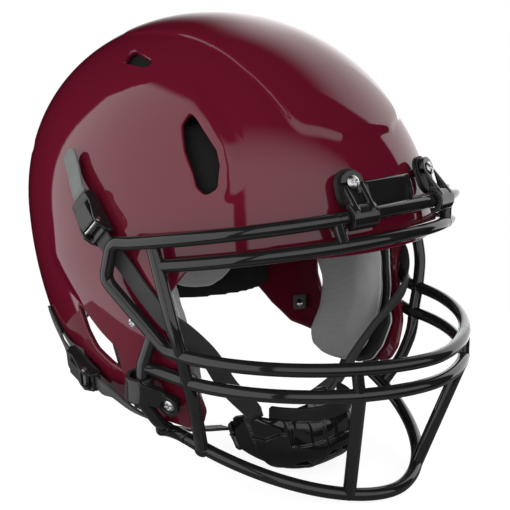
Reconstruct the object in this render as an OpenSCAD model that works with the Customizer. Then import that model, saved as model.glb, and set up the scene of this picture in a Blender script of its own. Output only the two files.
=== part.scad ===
// Football helmet with a wire face guard, a chin cup on four straps and padded liner.
// The modelling origin is the centre of the shell's rounded form; placed() moves it to the floor.
// The helmet faces -Y, the wearer's right side is -X, and +Z is up.

/* [Shell] */
// Half of the shell's outside width
shell_half_w = 118; // [112:1:124]
// Reach of the shell's form ahead of its centre
shell_front = 139; // [132:1:146]
// Reach of the shell's form behind its centre
shell_rear = 160; // [150:1:170]
// Height of the crown above the centre
crown_h = 135; // [128:1:142]
// Depth of the form below the centre, past the rim
form_depth = 187; // [178:1:196]
// Rearward lean of the form for each millimetre of height
form_lean = 0.1; // [0.05:0.01:0.14]
// Wall of the moulded shell
shell_wall = 3.6; // [3:0.2:5]
// Height of the brow edge above the centre
brow_z = 1; // [-3:1:6]
// Distance of the face opening's side edge ahead of the centre
cheek_edge = 67; // [63:1:71]
// Depth of the jaw flap's tip below the centre
jaw_depth = 112; // [106:1:116]
// Depth of the rear rim below the centre
rear_rim = 62; // [58:1:66]
// Height that the raised crown panel stands proud
crown_rise = 2.8; // [1.5:0.1:4]
// Half width of the raised crown panel
crown_panel_w = 49; // [44:1:52]
// Height that the side panels and jaw flaps stand proud
panel_rise = 2.4; // [1.2:0.1:3.5]

/* [Face guard] */
// Diameter of the coated wire
wire_d = 8.2; // [7:0.1:9]
// Reach of the brow bar ahead of the centre
brow_bar_front = 144; // [142:1:146]
// Height of the brow bar at the front
brow_bar_z = 26.4; // [25:0.2:28]
// Reach of the second bar ahead of the centre
second_bar_front = 148.2; // [146:0.2:152]
// Height of the second bar at the front
second_bar_z = 11.1; // [9:0.1:13]
// Reach of the upper mouth bar ahead of the centre
mouth_bar_front = 172; // [164:1:178]
// Depth of the upper mouth bar below the centre
mouth_bar_z = 60; // [56:1:63]
// Distance between the two mouth bars
mouth_bar_gap = 15.5; // [14:0.5:18]
// Reach of the chin bar ahead of the centre
chin_bar_front = 145; // [140:1:150]
// Depth of the chin bar below the centre
chin_bar_z = 152.5; // [148:0.5:156]

/* [Top clips] */
// Half of the distance between the two top clip screws
clip_half_span = 36; // [34:1:38]
// Height of the top clip screws above the centre
clip_screw_z = 43.5; // [41:0.5:46]
// Width of a top clip
clip_w = 15; // [13:0.5:17]
// Thickness of a top clip's plate
clip_t = 3.4; // [2.6:0.2:4]
// Height of the moulded boss under a clip
boss_h = 4; // [3:0.5:5]
// Thickness of the rubber spacer under a clip
spacer_t = 3.6; // [2.8:0.2:4.4]
// Diameter of the clip screws
clip_screw_d = 4.8; // [4:0.2:5.4]

/* [Side clips] */
// Distance of the side clip screws ahead of the centre
side_screw_y = 52; // [50:1:54]
// Depth of the side clip screws below the centre
side_screw_z = 92; // [90:1:94]
// Height of a side clip's loop
side_clip_h = 14.4; // [12:0.4:16]

/* [Straps and buckles] */
// Width of the chin strap webbing
strap_w = 12; // [11:0.5:13]
// Thickness of the webbing
strap_t = 1.8; // [1.4:0.1:2.2]
// Length of a buckle's body
buckle_l = 30; // [28:1:34]
// Width of a buckle's body
buckle_w = 17; // [16.4:0.2:20]
// Height of a buckle's side cheeks
buckle_h = 9; // [8.5:0.5:10]
// Diameter of a lever's hinge pin
pin_d = 3; // [2.6:0.1:3.4]
// Turn of a lever from shut to open
lever_open = 70; // [50:5:80]

/* [Chin cup] */
// Width of the chin cup
cup_w = 80; // [76:1:84]
// Depth of the chin cup from its rear lobes to its front
cup_d = 66; // [62:1:68]
// Height of the chin cup's form
cup_h = 40; // [38:0.5:41]
// Wall of the hard cup
cup_wall = 2.6; // [2:0.2:3.4]
// Reach of the cup's front ahead of the centre
cup_front = 98; // [92:1:104]
// Depth of the cup's middle below the centre
cup_z = 135.5; // [134:0.5:136]

/* [Liner] */
// Gap between the shell's inside and a pad's back
pad_gap = 1.2; // [1:0.1:1.6]
// Thickness of the crown and side pads
pad_t = 17; // [12:1:20]
// Thickness of the jaw pads
jaw_pad_t = 18; // [14:1:20]

/* [Hidden] */
$fn = 32;

shell_red = "#5C1226";
gloss_black = "#202022";
strap_grey = "#3A3B3C";
pad_grey = "#6E6F70";
steel = "#C4C6C8";

wire_r = wire_d / 2;
plan_power = 2.2;
height_power = 2.06;
slack = 0.3;
floor_z = chin_bar_z + wire_r;
middle_y = (mouth_bar_front + wire_r - shell_rear) / 2;

// Moves a piece from the shell's centre to the part's own origin on the floor
module placed() {
    translate([0, middle_y, floor_z]) children();
}

// The same piece on the wearer's left
module mirrored() {
    mirror([1, 0, 0]) children();
}

// Rounded form of the shell
function signed_power(v, e) = sign(v) * pow(abs(v), e);
function form_measure(d, proud) =
    let (b = (d.y < 0 ? shell_front : shell_rear) + proud)
    let (c = (d.z > 0 ? crown_h : form_depth) + proud)
    let (plan = pow(abs(d.x / (shell_half_w + proud)), plan_power) + pow(abs(d.y / b), plan_power))
    pow(pow(plan, height_power / plan_power) + pow(abs(d.z / c), height_power), 1 / height_power);
function leaned(p) = [p.x, p.y + form_lean * p.z, p.z];
function form_point(d, proud) = leaned(d / form_measure(d, proud));
function heading(az, el) = [cos(az) * cos(el), sin(az) * cos(el), sin(el)];

// Half width of the form at a place in the side view
function form_x(y, z, proud) =
    let (c = (z > 0 ? crown_h : form_depth) + proud)
    let (u = y - form_lean * z)
    let (b = (u < 0 ? shell_front : shell_rear) + proud)
    let (k = pow(1 - pow(abs(z / c), height_power), plan_power / height_power))
    (shell_half_w + proud) * pow(max(0.0001, k - pow(abs(u / b), plan_power)), 1 / plan_power);
// Front reach of the form at a place in the front view
function form_y(x, z, proud) =
    let (c = (z > 0 ? crown_h : form_depth) + proud)
    let (k = pow(1 - pow(abs(z / c), height_power), plan_power / height_power))
    let (side = pow(abs(x / (shell_half_w + proud)), plan_power))
    form_lean * z - (shell_front + proud) * pow(max(0.0001, k - side), 1 / plan_power);
function unit(v) = v / norm(v);
// Outward normal of the form at a point on it
function form_normal(p) =
    let (e = 0.5)
    let (q = [p.x, p.y - form_lean * p.z, p.z])
    let (dx = form_measure(q + [e, 0, 0], 0) - form_measure(q - [e, 0, 0], 0))
    let (dy = form_measure(q + [0, e, 0], 0) - form_measure(q - [0, e, 0], 0))
    let (dz = form_measure(q + [0, 0, e], 0) - form_measure(q - [0, 0, e], 0))
    unit([dx, dy, dz - form_lean * dy]);

// Quads between neighbouring rings of points, with both ends closed
function ring_faces(rings, sides) = [
    for (i = [0:rings - 2], j = [0:sides - 1])
        let (k = (j + 1) % sides)
        each [[i * sides + j, i * sides + k, (i + 1) * sides + k],
              [i * sides + j, (i + 1) * sides + k, (i + 1) * sides + j]]];
function end_caps(rings, sides) = [
    [for (j = [sides - 1:-1:0]) j],
    [for (j = [0:sides - 1]) (rings - 1) * sides + j]];
module skin(rings) {
    sides = len(rings[0]);
    polyhedron(points = [for (r = rings) each r],
        faces = [for (f = concat(ring_faces(len(rings), sides), end_caps(len(rings), sides)))
            [for (i = [len(f) - 1:-1:0]) f[i]]]);
}

// Solid of the whole form, from below the jaw to the crown
form_columns = 32;
form_rows = 14;
form_low = -52;
module form_solid(proud) {
    skin([for (i = [0:form_rows])
        let (el = form_low + (89.4 - form_low) * i / form_rows)
        [for (j = [0:form_columns - 1])
            form_point(heading(360 * j / form_columns, el), proud)]]);
}

// Cuts along X through an outline drawn in the side view as [y, z]
module side_outline(points, round_r, depth = 300) {
    rotate([90, 0, 90])
        linear_extrude(height = depth, center = true)
            offset(r = round_r, $fn = 16) offset(delta = -round_r) polygon(points);
}

// What is left of the form between brow, cheek edge, jaw and rear rim
shell_outline = [
    [-200, brow_z], [-cheek_edge - 15, brow_z], [-cheek_edge - 2, -9], [-cheek_edge + 8, -23],
    [-cheek_edge + 12, -36], [-cheek_edge + 12, -47], [-cheek_edge + 8, -60], [-cheek_edge - 3, 32 - jaw_depth],
    [-cheek_edge - 4, 14 - jaw_depth], [-cheek_edge + 1, 4 - jaw_depth], [-cheek_edge + 11, -jaw_depth],
    [-8, 4 - jaw_depth], [14, 11 - jaw_depth], [34, 18 - jaw_depth], [52, -rear_rim - 20],
    [70, -rear_rim - 8], [92, -rear_rim], [200, -rear_rim], [200, 200], [-200, 200]];

// Moved copy of the form, proud only on the side that it is moved to, kept inside an outline
module side_panel() {
    intersection() {
        translate([-panel_rise * 0.8, -panel_rise * 0.7, panel_rise * 0.2]) form_solid(0);
        translate([-150, 0, 0]) side_outline([[60, 33], [-86, 33], [-89, 42], [-86, 54], [-80, 65],
            [-66, 80], [-42, 99], [-26, 108], [60, 108]], 5, 200);
    }
}
module jaw_panel() {
    intersection() {
        translate([-panel_rise, -panel_rise * 0.35, -panel_rise * 0.2]) form_solid(0);
        translate([-150, 0, 0]) side_outline([[74, 0], [54, 6], [51, -18], [23, -39], [12, -50],
            [-10, -66], [-11, -120], [-110, -120], [-110, -30], [-20, -10], [30, 4]], 3, 200);
    }
}
module crown_panel() {
    intersection() {
        translate([0, -crown_rise * 0.9, crown_rise * 0.5]) form_solid(0);
        linear_extrude(height = 300)
            offset(r = 12, $fn = 16) offset(delta = -12)
                polygon([[-crown_panel_w, 70], [-crown_panel_w - 1, -60], [-crown_panel_w + 1, -103],
                    [-24, -118], [0, -121], [24, -118],
                    [crown_panel_w - 1, -103], [crown_panel_w + 1, -60], [crown_panel_w, 70]]);
    }
}

// Slot through the shell below the ear
module ear_slot() {
    translate([-150, 0, 0])
        side_outline([[27, -43], [13, -51], [-12, -66], [-11.5, -83], [2, -80], [16, -73], [22, -63]], 2, 200);
}
// Tapered vent in the side panel, leaning forward at its foot
module side_vent() {
    translate([-120, 0, 0])
        side_outline([[-52, 82], [-51, 76], [-58, 62], [-66, 50], [-70, 42], [-76, 37], [-81, 41],
            [-79, 54], [-75, 62], [-68, 69], [-58, 78]], 2.2, 90);
}
// Small vent on the crown, through the wall
module top_vent() {
    hull() {
        for (p = [[-66, 22, 108], [-70, 20, 105], [-71, 2, 103]])
            translate(p) rotate([0, -40, 0]) cylinder(r = 2.5, h = 26, center = true, $fn = 16);
    }
}
// Slots in the rear of the shell, where air leaves
module rear_vent(x) {
    hull() for (s = [-1, 1])
        translate([x + s * 8, 150, 44]) rotate([90, 0, 0])
            cylinder(r = 3.5, h = 60, center = true, $fn = 16);
}

// Local frames: Z is outward, X runs along the given direction on the surface
module seat(p, n, along) {
    b = unit(cross(n, along));
    t = cross(b, n);
    multmatrix([[t.x, b.x, n.x, p.x], [t.y, b.y, n.y, p.y], [t.z, b.z, n.z, p.z]]) children();
}

// Seat of the right top clip: origin on the shell under the screw, X runs down the forehead
clip_base = [-clip_half_span + 3, form_y(-clip_half_span + 3, clip_screw_z - 3, 0), clip_screw_z - 3];
clip_normal = form_normal(clip_base);
module clip_seat() {
    seat(clip_base, clip_normal, [0, 0, -1]) children();
}
clip_drop = 21;
module clip_boss() {
    clip_seat() hull() {
        translate([0, 0, -2]) cylinder(r = clip_w / 2 + 2.5, h = boss_h + 2, $fn = 24);
        translate([clip_drop - 10, 0, -2]) cylinder(r = clip_w / 2 + 2.5, h = boss_h + 2, $fn = 24);
    }
}

// Places of the other screws that go through the shell
bumper_screw_x = 15;
bumper_z = 35;
module bumper_seat(x) {
    p = [x, form_y(x, bumper_z, 0), bumper_z];
    seat(p, form_normal(p), [0, 0, -1]) children();
}
side_base = [-form_x(-side_screw_y, -side_screw_z, panel_rise), -side_screw_y, -side_screw_z];
side_normal = form_normal(side_base);
side_back = unit(cross(cross(side_normal, [0, 1, 0.15]), side_normal));
side_down = cross(side_normal, side_back);
module side_seat() {
    seat(side_base, side_normal, side_back) children();
}
upper_base = [-form_x(-5, 17, panel_rise * 0.8), -5, 17];
lower_base = [-form_x(29, -88.5, 1.2), 29, -88.5];
upper_run = [0, -0.70, -0.71];
lower_run = [0, -0.90, -0.42];
module upper_seat() {
    seat(upper_base, form_normal(upper_base), upper_run) children();
}
module lower_seat() {
    seat(lower_base, form_normal(lower_base), lower_run) children();
}
buckle_screw_x = -1.5;
screw_bore = clip_screw_d + 0.6;
flank_base = [-form_x(-30, -45, panel_rise * 0.9), -30, -45];
module flank_seat() {
    seat(flank_base, form_normal(flank_base), [0, 0, -1]) children();
}
module shell_drills() {
    flank_seat() cylinder(d = screw_bore, h = 30, center = true);
    clip_seat() cylinder(d = screw_bore, h = 60, center = true);
    side_seat() cylinder(d = screw_bore, h = 60, center = true);
    bumper_seat(-bumper_screw_x) cylinder(d = screw_bore, h = 30, center = true);
    upper_seat() translate([buckle_screw_x, 0, 0]) cylinder(d = screw_bore, h = 30, center = true);
    lower_seat() translate([buckle_screw_x, 0, 0]) cylinder(d = screw_bore, h = 30, center = true);
}

// Moulded shell with its raised panels, openings, vents and screw holes
module shell_body() {
    difference() {
        intersection() {
            union() {
                form_solid(0);
                crown_panel();
                for (m = [0, 1]) mirror([m, 0, 0]) {
                    side_panel();
                    jaw_panel();
                    clip_boss();
                }
            }
            side_outline(shell_outline, 7, 400);
        }
        form_solid(-shell_wall);
        for (m = [0, 1]) mirror([m, 0, 0]) {
            ear_slot();
            side_vent();
            top_vent();
            rear_vent(40);
            rear_vent(75);
            shell_drills();
        }
    }
}
module shell() {
    color(shell_red) placed() shell_body();
}

// Black plate across the forehead between the clips
bumper_half_w = 22.4;
bumper_half_h = 7.5;
bumper_t = 3.4;
module front_bumper() {
    color(gloss_black) placed() difference() {
        intersection() {
            difference() {
                form_solid(bumper_t);
                form_solid(slack);
            }
            translate([0, -110, bumper_z]) rotate([90, 0, 0])
                linear_extrude(height = 60) offset(r = 2.5, $fn = 24)
                    square([2 * bumper_half_w - 5, 2 * bumper_half_h - 5], center = true);
        }
        for (s = [-1, 1])
            bumper_seat(s * bumper_screw_x) translate([0, 0, -20]) cylinder(d = clip_screw_d + 0.04, h = 20 + bumper_t - 1);
    }
}
module bumper_screws() {
    color(steel) placed() for (s = [-1, 1]) bumper_seat(s * bumper_screw_x) {
        translate([0, 0, -shell_wall - 2.4]) cylinder(d = clip_screw_d, h = shell_wall + bumper_t + 1.3);
        translate([0, 0, -shell_wall - 3.4]) cylinder(d = 8, h = 2);
    }
}

// A line through points, with a round bend of the given radius at each inner one
function bend_at(a, v, b, r) =
    let (p = unit(a - v))
    let (q = unit(b - v))
    let (half = acos(max(-1, min(1, p * q))) / 2)
    let (centre = v + unit(p + q) * (r / sin(half)))
    let (s = v + p * (r / tan(half)) - centre)
    let (e = v + q * (r / tan(half)) - centre)
    let (turn = 180 - 2 * half)
    let (steps = max(2, ceil(turn / 22)))
    [for (i = [0:steps]) centre + (s * sin(turn * (1 - i / steps)) + e * sin(turn * i / steps)) / sin(turn)];
function bent(points, radii) = concat([points[0]],
    [for (i = [1:len(points) - 2]) each bend_at(points[i - 1], points[i], points[i + 1], radii[i - 1])],
    [points[len(points) - 1]]);

// Round wire along a line of points; the frame is carried along so that it never twists
wire_sides = 8;
function tangents(p, closed) =
    let (n = len(p))
    [for (i = [0:n - 1]) closed ? unit(p[(i + 1) % n] - p[(i + n - 1) % n])
        : unit(p[min(i + 1, n - 1)] - p[max(i - 1, 0)])];
function levelled(u, t) = unit(u - t * (u * t));
function carried(ts, start) = [for (i = 0, u = levelled(start, ts[0]); i < len(ts);
    i = i + 1, u = i < len(ts) ? levelled(u, ts[i]) : u) u];
function wire_rings(path, r, closed, start) =
    let (ts = tangents(path, closed))
    let (us = carried(ts, start))
    [for (i = [0:len(path) - 1]) [for (j = [0:wire_sides - 1])
        path[i] + r * (cos(360 * j / wire_sides) * us[i] + sin(360 * j / wire_sides) * cross(ts[i], us[i]))]];
module wire(path, r = wire_r, start = [0.3, 0.9, 0.2]) {
    skin(wire_rings(path, r, false, start));
}
// Quads from the last ring to the first, shifted to the nearest corners
module closed_wire(path, start = [0, 0, 1]) {
    rings = wire_rings(path, wire_r, true, start);
    n = len(rings);
    near = [for (k = [0:wire_sides - 1]) norm(rings[n - 1][0] - rings[0][k])];
    shift = [for (k = [0:wire_sides - 1]) if (near[k] == min(near)) k][0];
    last = (n - 1) * wire_sides;
    seam = [for (j = [0:wire_sides - 1])
        let (k = (j + 1) % wire_sides)
        each [[last + j, last + k, (k + shift) % wire_sides],
              [last + j, (k + shift) % wire_sides, (j + shift) % wire_sides]]];
    polyhedron(points = [for (r = rings) each r],
        faces = [for (f = concat(ring_faces(n, wire_sides), seam)) [for (i = [len(f) - 1:-1:0]) f[i]]]);
}

// Bar that curves round the face: half width, rear y, front y, front z, tilt and roundness
function bar_point(b, a) =
    let (y = b[1] + (b[2] - b[1]) * signed_power(sin(a), 2 / b[5]))
    [-b[0] * signed_power(cos(a), 2 / b[5]), y, b[3] + b[4] * (y - b[2])];
function bar_path(b, from, steps) = [
    for (i = [0:steps]) bar_point(b, from + (180 - 2 * from) * i / steps)];
brow_bar = [127.5, -10, -brow_bar_front, brow_bar_z, -0.18, 2.39];
second_bar = [121.4, -25, -second_bar_front, second_bar_z, -0.17, 2.11];
upper_mouth_bar = [112.5, -66, -mouth_bar_front, -mouth_bar_z, 0.03, 1.72];
lower_mouth_bar = [107.5, -66, -mouth_bar_front, -mouth_bar_z - mouth_bar_gap, 0.01, 1.8];
chin_bar = [92.6, -23, -chin_bar_front, -chin_bar_z, 0.33, 1.83];

function mirror_x(path) = [for (i = [len(path) - 1:-1:0]) [-path[i].x, path[i].y, path[i].z]];
// Loop from the brow bar's end round to the upper mouth bar
brow_end = bar_point(brow_bar, 10);
right_loop = bent([bar_point(brow_bar, 12), brow_end, [-128.5, -29.5, 7], [-128, -21.5, -17],
    [-114, -59.5, -56], bar_point(upper_mouth_bar, 8), bar_point(upper_mouth_bar, 12)], [60, 8, 9, 12, 30]);
ring_path = concat(bar_path(upper_mouth_bar, 16, 15), mirror_x(right_loop),
    [for (i = [12:-1:1]) bar_point(brow_bar, 12 + 156 * i / 13)], right_loop);
// Side wires, through the side clips, and the chin bar between them
right_side_wire = bent([[-117, -51, -48], [-118.5, -43.5, -67], [-118.5, -41, -90], [-108.7, -43.7, -105.1],
    [-97.3, -39.4, -115.2], bar_point(chin_bar, 8), bar_point(chin_bar, 13)], [20, 10, 12, 14, 12]);
chin_path = concat(right_side_wire, bar_path(chin_bar, 18, 14), mirror_x(right_side_wire));
// Upright from the brow bar past both mouth bars to the chin bar
upright_path = bent([[-119.5, -55, 9.5], [-117.2, -69.2, -37], [-112, -71.5, -57], [-108, -71.5, -73],
    [-105, -73.5, -86.7], [-98, -69.5, -106.5], [-88.5, -62, -124]], [60, 60, 60, 50, 60]);
// Lower mouth bar, bent back at both ends to the side wires
lower_tail = [bar_point(lower_mouth_bar, 4), bar_point(lower_mouth_bar, 0) + [-5, 14, 3], [-118, -43.5, -68.5]];
lower_path = concat([for (i = [2:-1:1]) lower_tail[i]], bar_path(lower_mouth_bar, 4, 16),
    [for (i = [1:2]) [-lower_tail[i].x, lower_tail[i].y, lower_tail[i].z]]);
module right_stubs() {
    a = bar_point(brow_bar, 70);
    b = bar_point(second_bar, 68);
    wire([a, b], wire_r * 0.9);
    c = bar_point(upper_mouth_bar, 59);
    d = bar_point(lower_mouth_bar, 59.5);
    wire([c, d], wire_r * 0.9);
    // Front upright from the lower mouth bar to the chin bar
    wire([d, bar_point(chin_bar, 67)]);
}
// Weld bead where two wires meet
module weld(p) {
    hull() {
        translate(p) sphere(r = wire_r + 0.4, $fn = 6);
        translate(p + [0, 0.8, 0]) sphere(r = wire_r + 0.4, $fn = 6);
    }
}
module face_guard() {
    color(gloss_black) placed() {
        closed_wire(ring_path);
        wire(bar_path(second_bar, 14, 14));
        wire(lower_path);
        wire(chin_path);
        for (m = [0, 1]) mirror([m, 0, 0]) {
            wire(upright_path);
            right_stubs();
            weld([-119.5, -55, 9.5]);
            weld([-111, -69.5, -57]);
            weld([-108, -70.5, -74]);
            weld([-88.5, -62, -126]);
            weld([-117, -51, -48]);
        }
    }
}

// Top clips, their spacers, screws and nuts
clip_z = boss_h + spacer_t;
brow_at_clip = bar_point(brow_bar, 77);
brow_run = unit(bar_point(brow_bar, 78) - bar_point(brow_bar, 76));
// Frame of the brow bar inside the clip: Y runs along the bar, Z is outward
module clip_bar_seat() {
    seat(brow_at_clip, unit(clip_normal - brow_run * (clip_normal * brow_run)), cross(brow_run, clip_normal))
        children();
}
hook_r = wire_r + slack + clip_t;
module top_clip() {
    difference() {
        union() {
            clip_seat() translate([0, 0, clip_z]) cylinder(r = clip_w / 2, h = clip_t);
            for (s = [-1, 1]) hull() {
                clip_seat() translate([2, s * (clip_w / 2 - 1.7), clip_z]) cylinder(r = 1.7, h = clip_t);
                clip_bar_seat() translate([-1, s * (clip_w / 2 - 1.7), hook_r - clip_t])
                    cylinder(r = 1.7, h = clip_t);
            }
            clip_bar_seat() rotate([90, 0, 0]) cylinder(r = hook_r, h = clip_w + 3, center = true);
        }
        clip_bar_seat() {
            rotate([90, 0, 0]) cylinder(r = wire_r + slack, h = 60, center = true);
            translate([-20, -20, -20]) cube([20 + 1, 40, 20 + 1]);
            translate([-20, -20, -20]) cube([40, 40, 20 - wire_r * 0.55]);
        }
        clip_seat() translate([0, 0, clip_z - 1]) cylinder(d = screw_bore, h = 20);
    }
}
module top_clip_spacer() {
    clip_seat() difference() {
        union() for (i = [0:2])
            translate([0, 0, boss_h + 0.04 + i * (spacer_t - 0.06) / 3])
                linear_extrude(height = spacer_t / 3 - 0.07) offset(r = clip_w / 2 + 1.6 - (i % 2) * 0.7)
                    translate([0, -0.1]) square([clip_drop - 15.5, 0.2]);
        translate([0, 0, 0]) cylinder(d = screw_bore, h = 30);
    }
}
module top_clip_screw() {
    clip_seat() {
        translate([0, 0, clip_z + clip_t + 0.1]) cylinder(d1 = 8, d2 = 6.4, h = 2.6);
        translate([0, 0, -shell_wall - 4]) cylinder(d = clip_screw_d, h = clip_z + clip_t + shell_wall + 4.2);
    }
}
module top_clip_nut() {
    clip_seat() translate([0, 0, -shell_wall - 5.1]) difference() {
        union() {
            cylinder(d = 16, h = 1.8);
            cylinder(d = 8, h = 3.6);
        }
        translate([0, 0, -1]) cylinder(d = clip_screw_d + 0.04, h = 8);
    }
}
module top_clip_right() {
    color(gloss_black) placed() top_clip();
}
module top_clip_left() {
    color(gloss_black) placed() mirrored() top_clip();
}
module top_clip_spacers() {
    color(gloss_black) placed() for (m = [0, 1]) mirror([m, 0, 0]) top_clip_spacer();
}
module top_clip_screws() {
    color(steel) placed() for (m = [0, 1]) mirror([m, 0, 0]) top_clip_screw();
}
module top_clip_nuts() {
    color(steel) placed() for (m = [0, 1]) mirror([m, 0, 0]) top_clip_nut();
}

// Side clips: a loop round the side wire, drawn in to a round ear on the jaw flap
side_wire_top = [-118.5, -43.5, -67];
side_wire_low = [-118.5, -41, -90];
side_clip_seat_h = 4.6;
side_clip_wall = 3;
side_clip_rise = 13;
// A place on the side wire in the clip's frame, at a height above the screw
function in_side_seat(p) = [(p - side_base) * side_back, (p - side_base) * side_down, (p - side_base) * side_normal];
wire_top = in_side_seat(side_wire_top);
wire_low = in_side_seat(side_wire_low);
function wire_at(b) = wire_low + (wire_top - wire_low) * (b - wire_low.y) / (wire_top.y - wire_low.y);
loop_mid = wire_at(-side_clip_rise);
loop_slope = (wire_top.z - wire_low.z) / (wire_top.y - wire_low.y);
loop_gap = 3.4;
module side_loop(extra) {
    hull() for (x = [loop_mid.x, loop_mid.x + loop_gap])
        translate([x, loop_mid.z]) circle(r = wire_r + slack + extra);
}
// Height of the loop follows the slope of the wire
module along_wire() {
    multmatrix([[1, 0, 0, 0], [0, 1, 0, -side_clip_rise], [0, loop_slope, 1, 0]])
        rotate([90, 0, 0]) linear_extrude(height = side_clip_h, center = true) children();
}
module side_arm() {
    fall = side_clip_rise / (loop_mid.x - 4);
    multmatrix([[1, 0, 0, 0], [-fall, 1, 0, 0], [0, 0, 1, 0]]) rotate([90, 0, 0])
        linear_extrude(height = side_clip_h, center = true) {
            hull() {
                translate([0, side_clip_seat_h + 1.5]) circle(r = 1.5, $fn = 16);
                translate([4, side_clip_seat_h + 2.2]) circle(r = 1.5, $fn = 16);
            }
            hull() {
                translate([4, side_clip_seat_h + 2.2]) circle(r = 1.5, $fn = 16);
                translate([loop_mid.x - 4, loop_mid.z + wire_r + 0.6]) circle(r = 1.5, $fn = 16);
            }
        }
}
module side_clip() {
    difference() {
        side_seat() {
            translate([0, 0, side_clip_seat_h]) cylinder(r = side_clip_h / 2, h = 3);
            side_arm();
            difference() {
                along_wire() side_loop(side_clip_wall);
                along_wire() side_loop(0.2);
                translate([0, -side_clip_rise, 0]) cube([60, 60, 1], center = true);
            }
        }
        side_seat() {
            translate([0, 0, -5]) cylinder(d = screw_bore, h = 30);
            translate([0, 0, side_clip_seat_h + 1.4]) cylinder(d = 9, h = 30);
        }
        side_seat() along_wire() side_loop(0);
        form_solid(panel_rise + slack);
        wire(lower_tail, wire_r + slack + 0.1);
    }
}
module side_clip_spacer() {
    side_seat() difference() {
        translate([0, 0, 0.6]) cylinder(r = side_clip_h / 2 - 2, h = side_clip_seat_h - 0.65);
        cylinder(d = screw_bore, h = 30);
    }
}
module side_clip_screw() {
    side_seat() {
        translate([0, 0, side_clip_seat_h + 1.45]) cylinder(d1 = 8.2, d2 = 6.4, h = 2);
        translate([0, 0, -shell_wall - 6]) cylinder(d = clip_screw_d, h = side_clip_seat_h + shell_wall + 8.2);
    }
}
module side_clip_nut() {
    side_seat() translate([0, 0, -shell_wall - 6.4]) difference() {
        union() {
            cylinder(d = 15, h = 1.8);
            cylinder(d = 8, h = 3.2);
        }
        translate([0, 0, -1]) cylinder(d = clip_screw_d + 0.04, h = 8);
    }
}
module side_clip_right() {
    color(gloss_black) placed() side_clip();
}
module side_clip_left() {
    color(gloss_black) placed() mirrored() side_clip();
}
module side_clip_spacers() {
    color(gloss_black) placed() for (m = [0, 1]) mirror([m, 0, 0]) side_clip_spacer();
}
module side_clip_screws() {
    color(steel) placed() for (m = [0, 1]) mirror([m, 0, 0]) side_clip_screw();
}
module side_clip_nuts() {
    color(steel) placed() for (m = [0, 1]) mirror([m, 0, 0]) side_clip_nut();
}

// Low screws through the flanks, for the jaw pads' carriers
module flank_screws() {
    color(steel) placed() for (m = [0, 1]) mirror([m, 0, 0]) flank_seat() {
        translate([0, 0, 0.3]) cylinder(d1 = 8, d2 = 5.6, h = 1.4);
        translate([0, 0, -shell_wall - panel_rise - 1.5]) cylinder(d = clip_screw_d, h = shell_wall + panel_rise + 2.5);
        translate([0, 0, -shell_wall - panel_rise - 2]) cylinder(d = 9, h = 1.7, $fn = 6);
    }
}

// Strap buckles: a tray with two cheeks, and a cam lever hinged between them
tray_z = 1.4;
tray_t = 2;
cheek_t = 1.7;
strap_z = tray_z + tray_t + slack;
pin_x = buckle_l / 2 - 8.5;
pin_z = strap_z + strap_t + pin_d / 2 + 1.8;
cam_r = pin_z - strap_z - strap_t - slack;
lever_w = buckle_w - 2 * cheek_t - 0.8;
module buckle_cheek_profile() {
    x0 = -buckle_l / 2;
    x1 = buckle_l / 2;
    polygon([[x0 + 1, tray_z], [x1, tray_z], [x1 + 0.6, tray_z + 2], [x1 - 1.5, buckle_h - 1],
        [x1 - 6, pin_z + 2.6], [x1 - 11.5, pin_z + 2.4], [x0 + 7, buckle_h - 0.6], [x0 + 2, buckle_h],
        [x0 - 0.6, tray_z + 3]]);
}
module buckle() {
    difference() {
        union() {
            for (s = [-1, 1])
                translate([0, s * (buckle_w - cheek_t) / 2, 0]) rotate([90, 0, 0])
                    linear_extrude(height = cheek_t, center = true)
                        offset(r = 0.8, $fn = 16) offset(delta = -0.8) buckle_cheek_profile();
            translate([-buckle_l / 2 + 1, -buckle_w / 2 + 1, tray_z])
                cube([buckle_l - 2, buckle_w - 2, tray_t]);
            translate([-buckle_l / 2 + 0.4, -buckle_w / 2 + 1, strap_z + strap_t + slack])
                cube([5.4, buckle_w - 2, buckle_h - strap_z - strap_t - slack - 0.4]);
            translate([buckle_l / 2 - 4.2, -buckle_w / 2 + 1, strap_z + strap_t + slack])
                cube([3.4, buckle_w - 2, buckle_h - strap_z - strap_t - slack - 1.6]);
            // Teeth along the edge of the upper bridge
            for (i = [-2:2])
                translate([-buckle_l / 2 + 5.6, i * 2.4 - 0.7, strap_z + strap_t + slack + 1])
                    cube([1, 1.4, 1.7]);
            translate([buckle_screw_x, 0, slack]) cylinder(d = 12, h = tray_z + tray_t - slack);
        }
        translate([buckle_screw_x, 0, -1]) cylinder(d = screw_bore, h = 6);
        translate([buckle_screw_x, 0, tray_z + 0.6]) cylinder(d = 8.6, h = 3);
        translate([pin_x, 0, pin_z]) rotate([90, 0, 0]) cylinder(d = pin_d + 0.06, h = 60, center = true);
    }
}
module lever() {
    tail = -buckle_l / 2 + 7.2;
    difference() {
        union() {
            translate([pin_x, 0, pin_z]) rotate([90, 0, 0]) cylinder(r = cam_r, h = lever_w, center = true);
            translate([tail, -lever_w / 2, strap_z + strap_t + 2.2])
                cube([pin_x - tail, lever_w, pin_z + cam_r - strap_z - strap_t - 2.2 - 0.6]);
        }
        translate([pin_x, 0, pin_z]) rotate([90, 0, 0]) cylinder(d = pin_d + 0.16, h = 60, center = true);
        translate([pin_x - 1, -lever_w, pin_z + cam_r - 1.4]) rotate([0, 35, 0]) cube([12, 2 * lever_w, 6]);
    }
}
module lever_pin() {
    translate([pin_x, 0, pin_z]) rotate([90, 0, 0]) cylinder(d = pin_d, h = buckle_w - 0.2, center = true);
}
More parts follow.
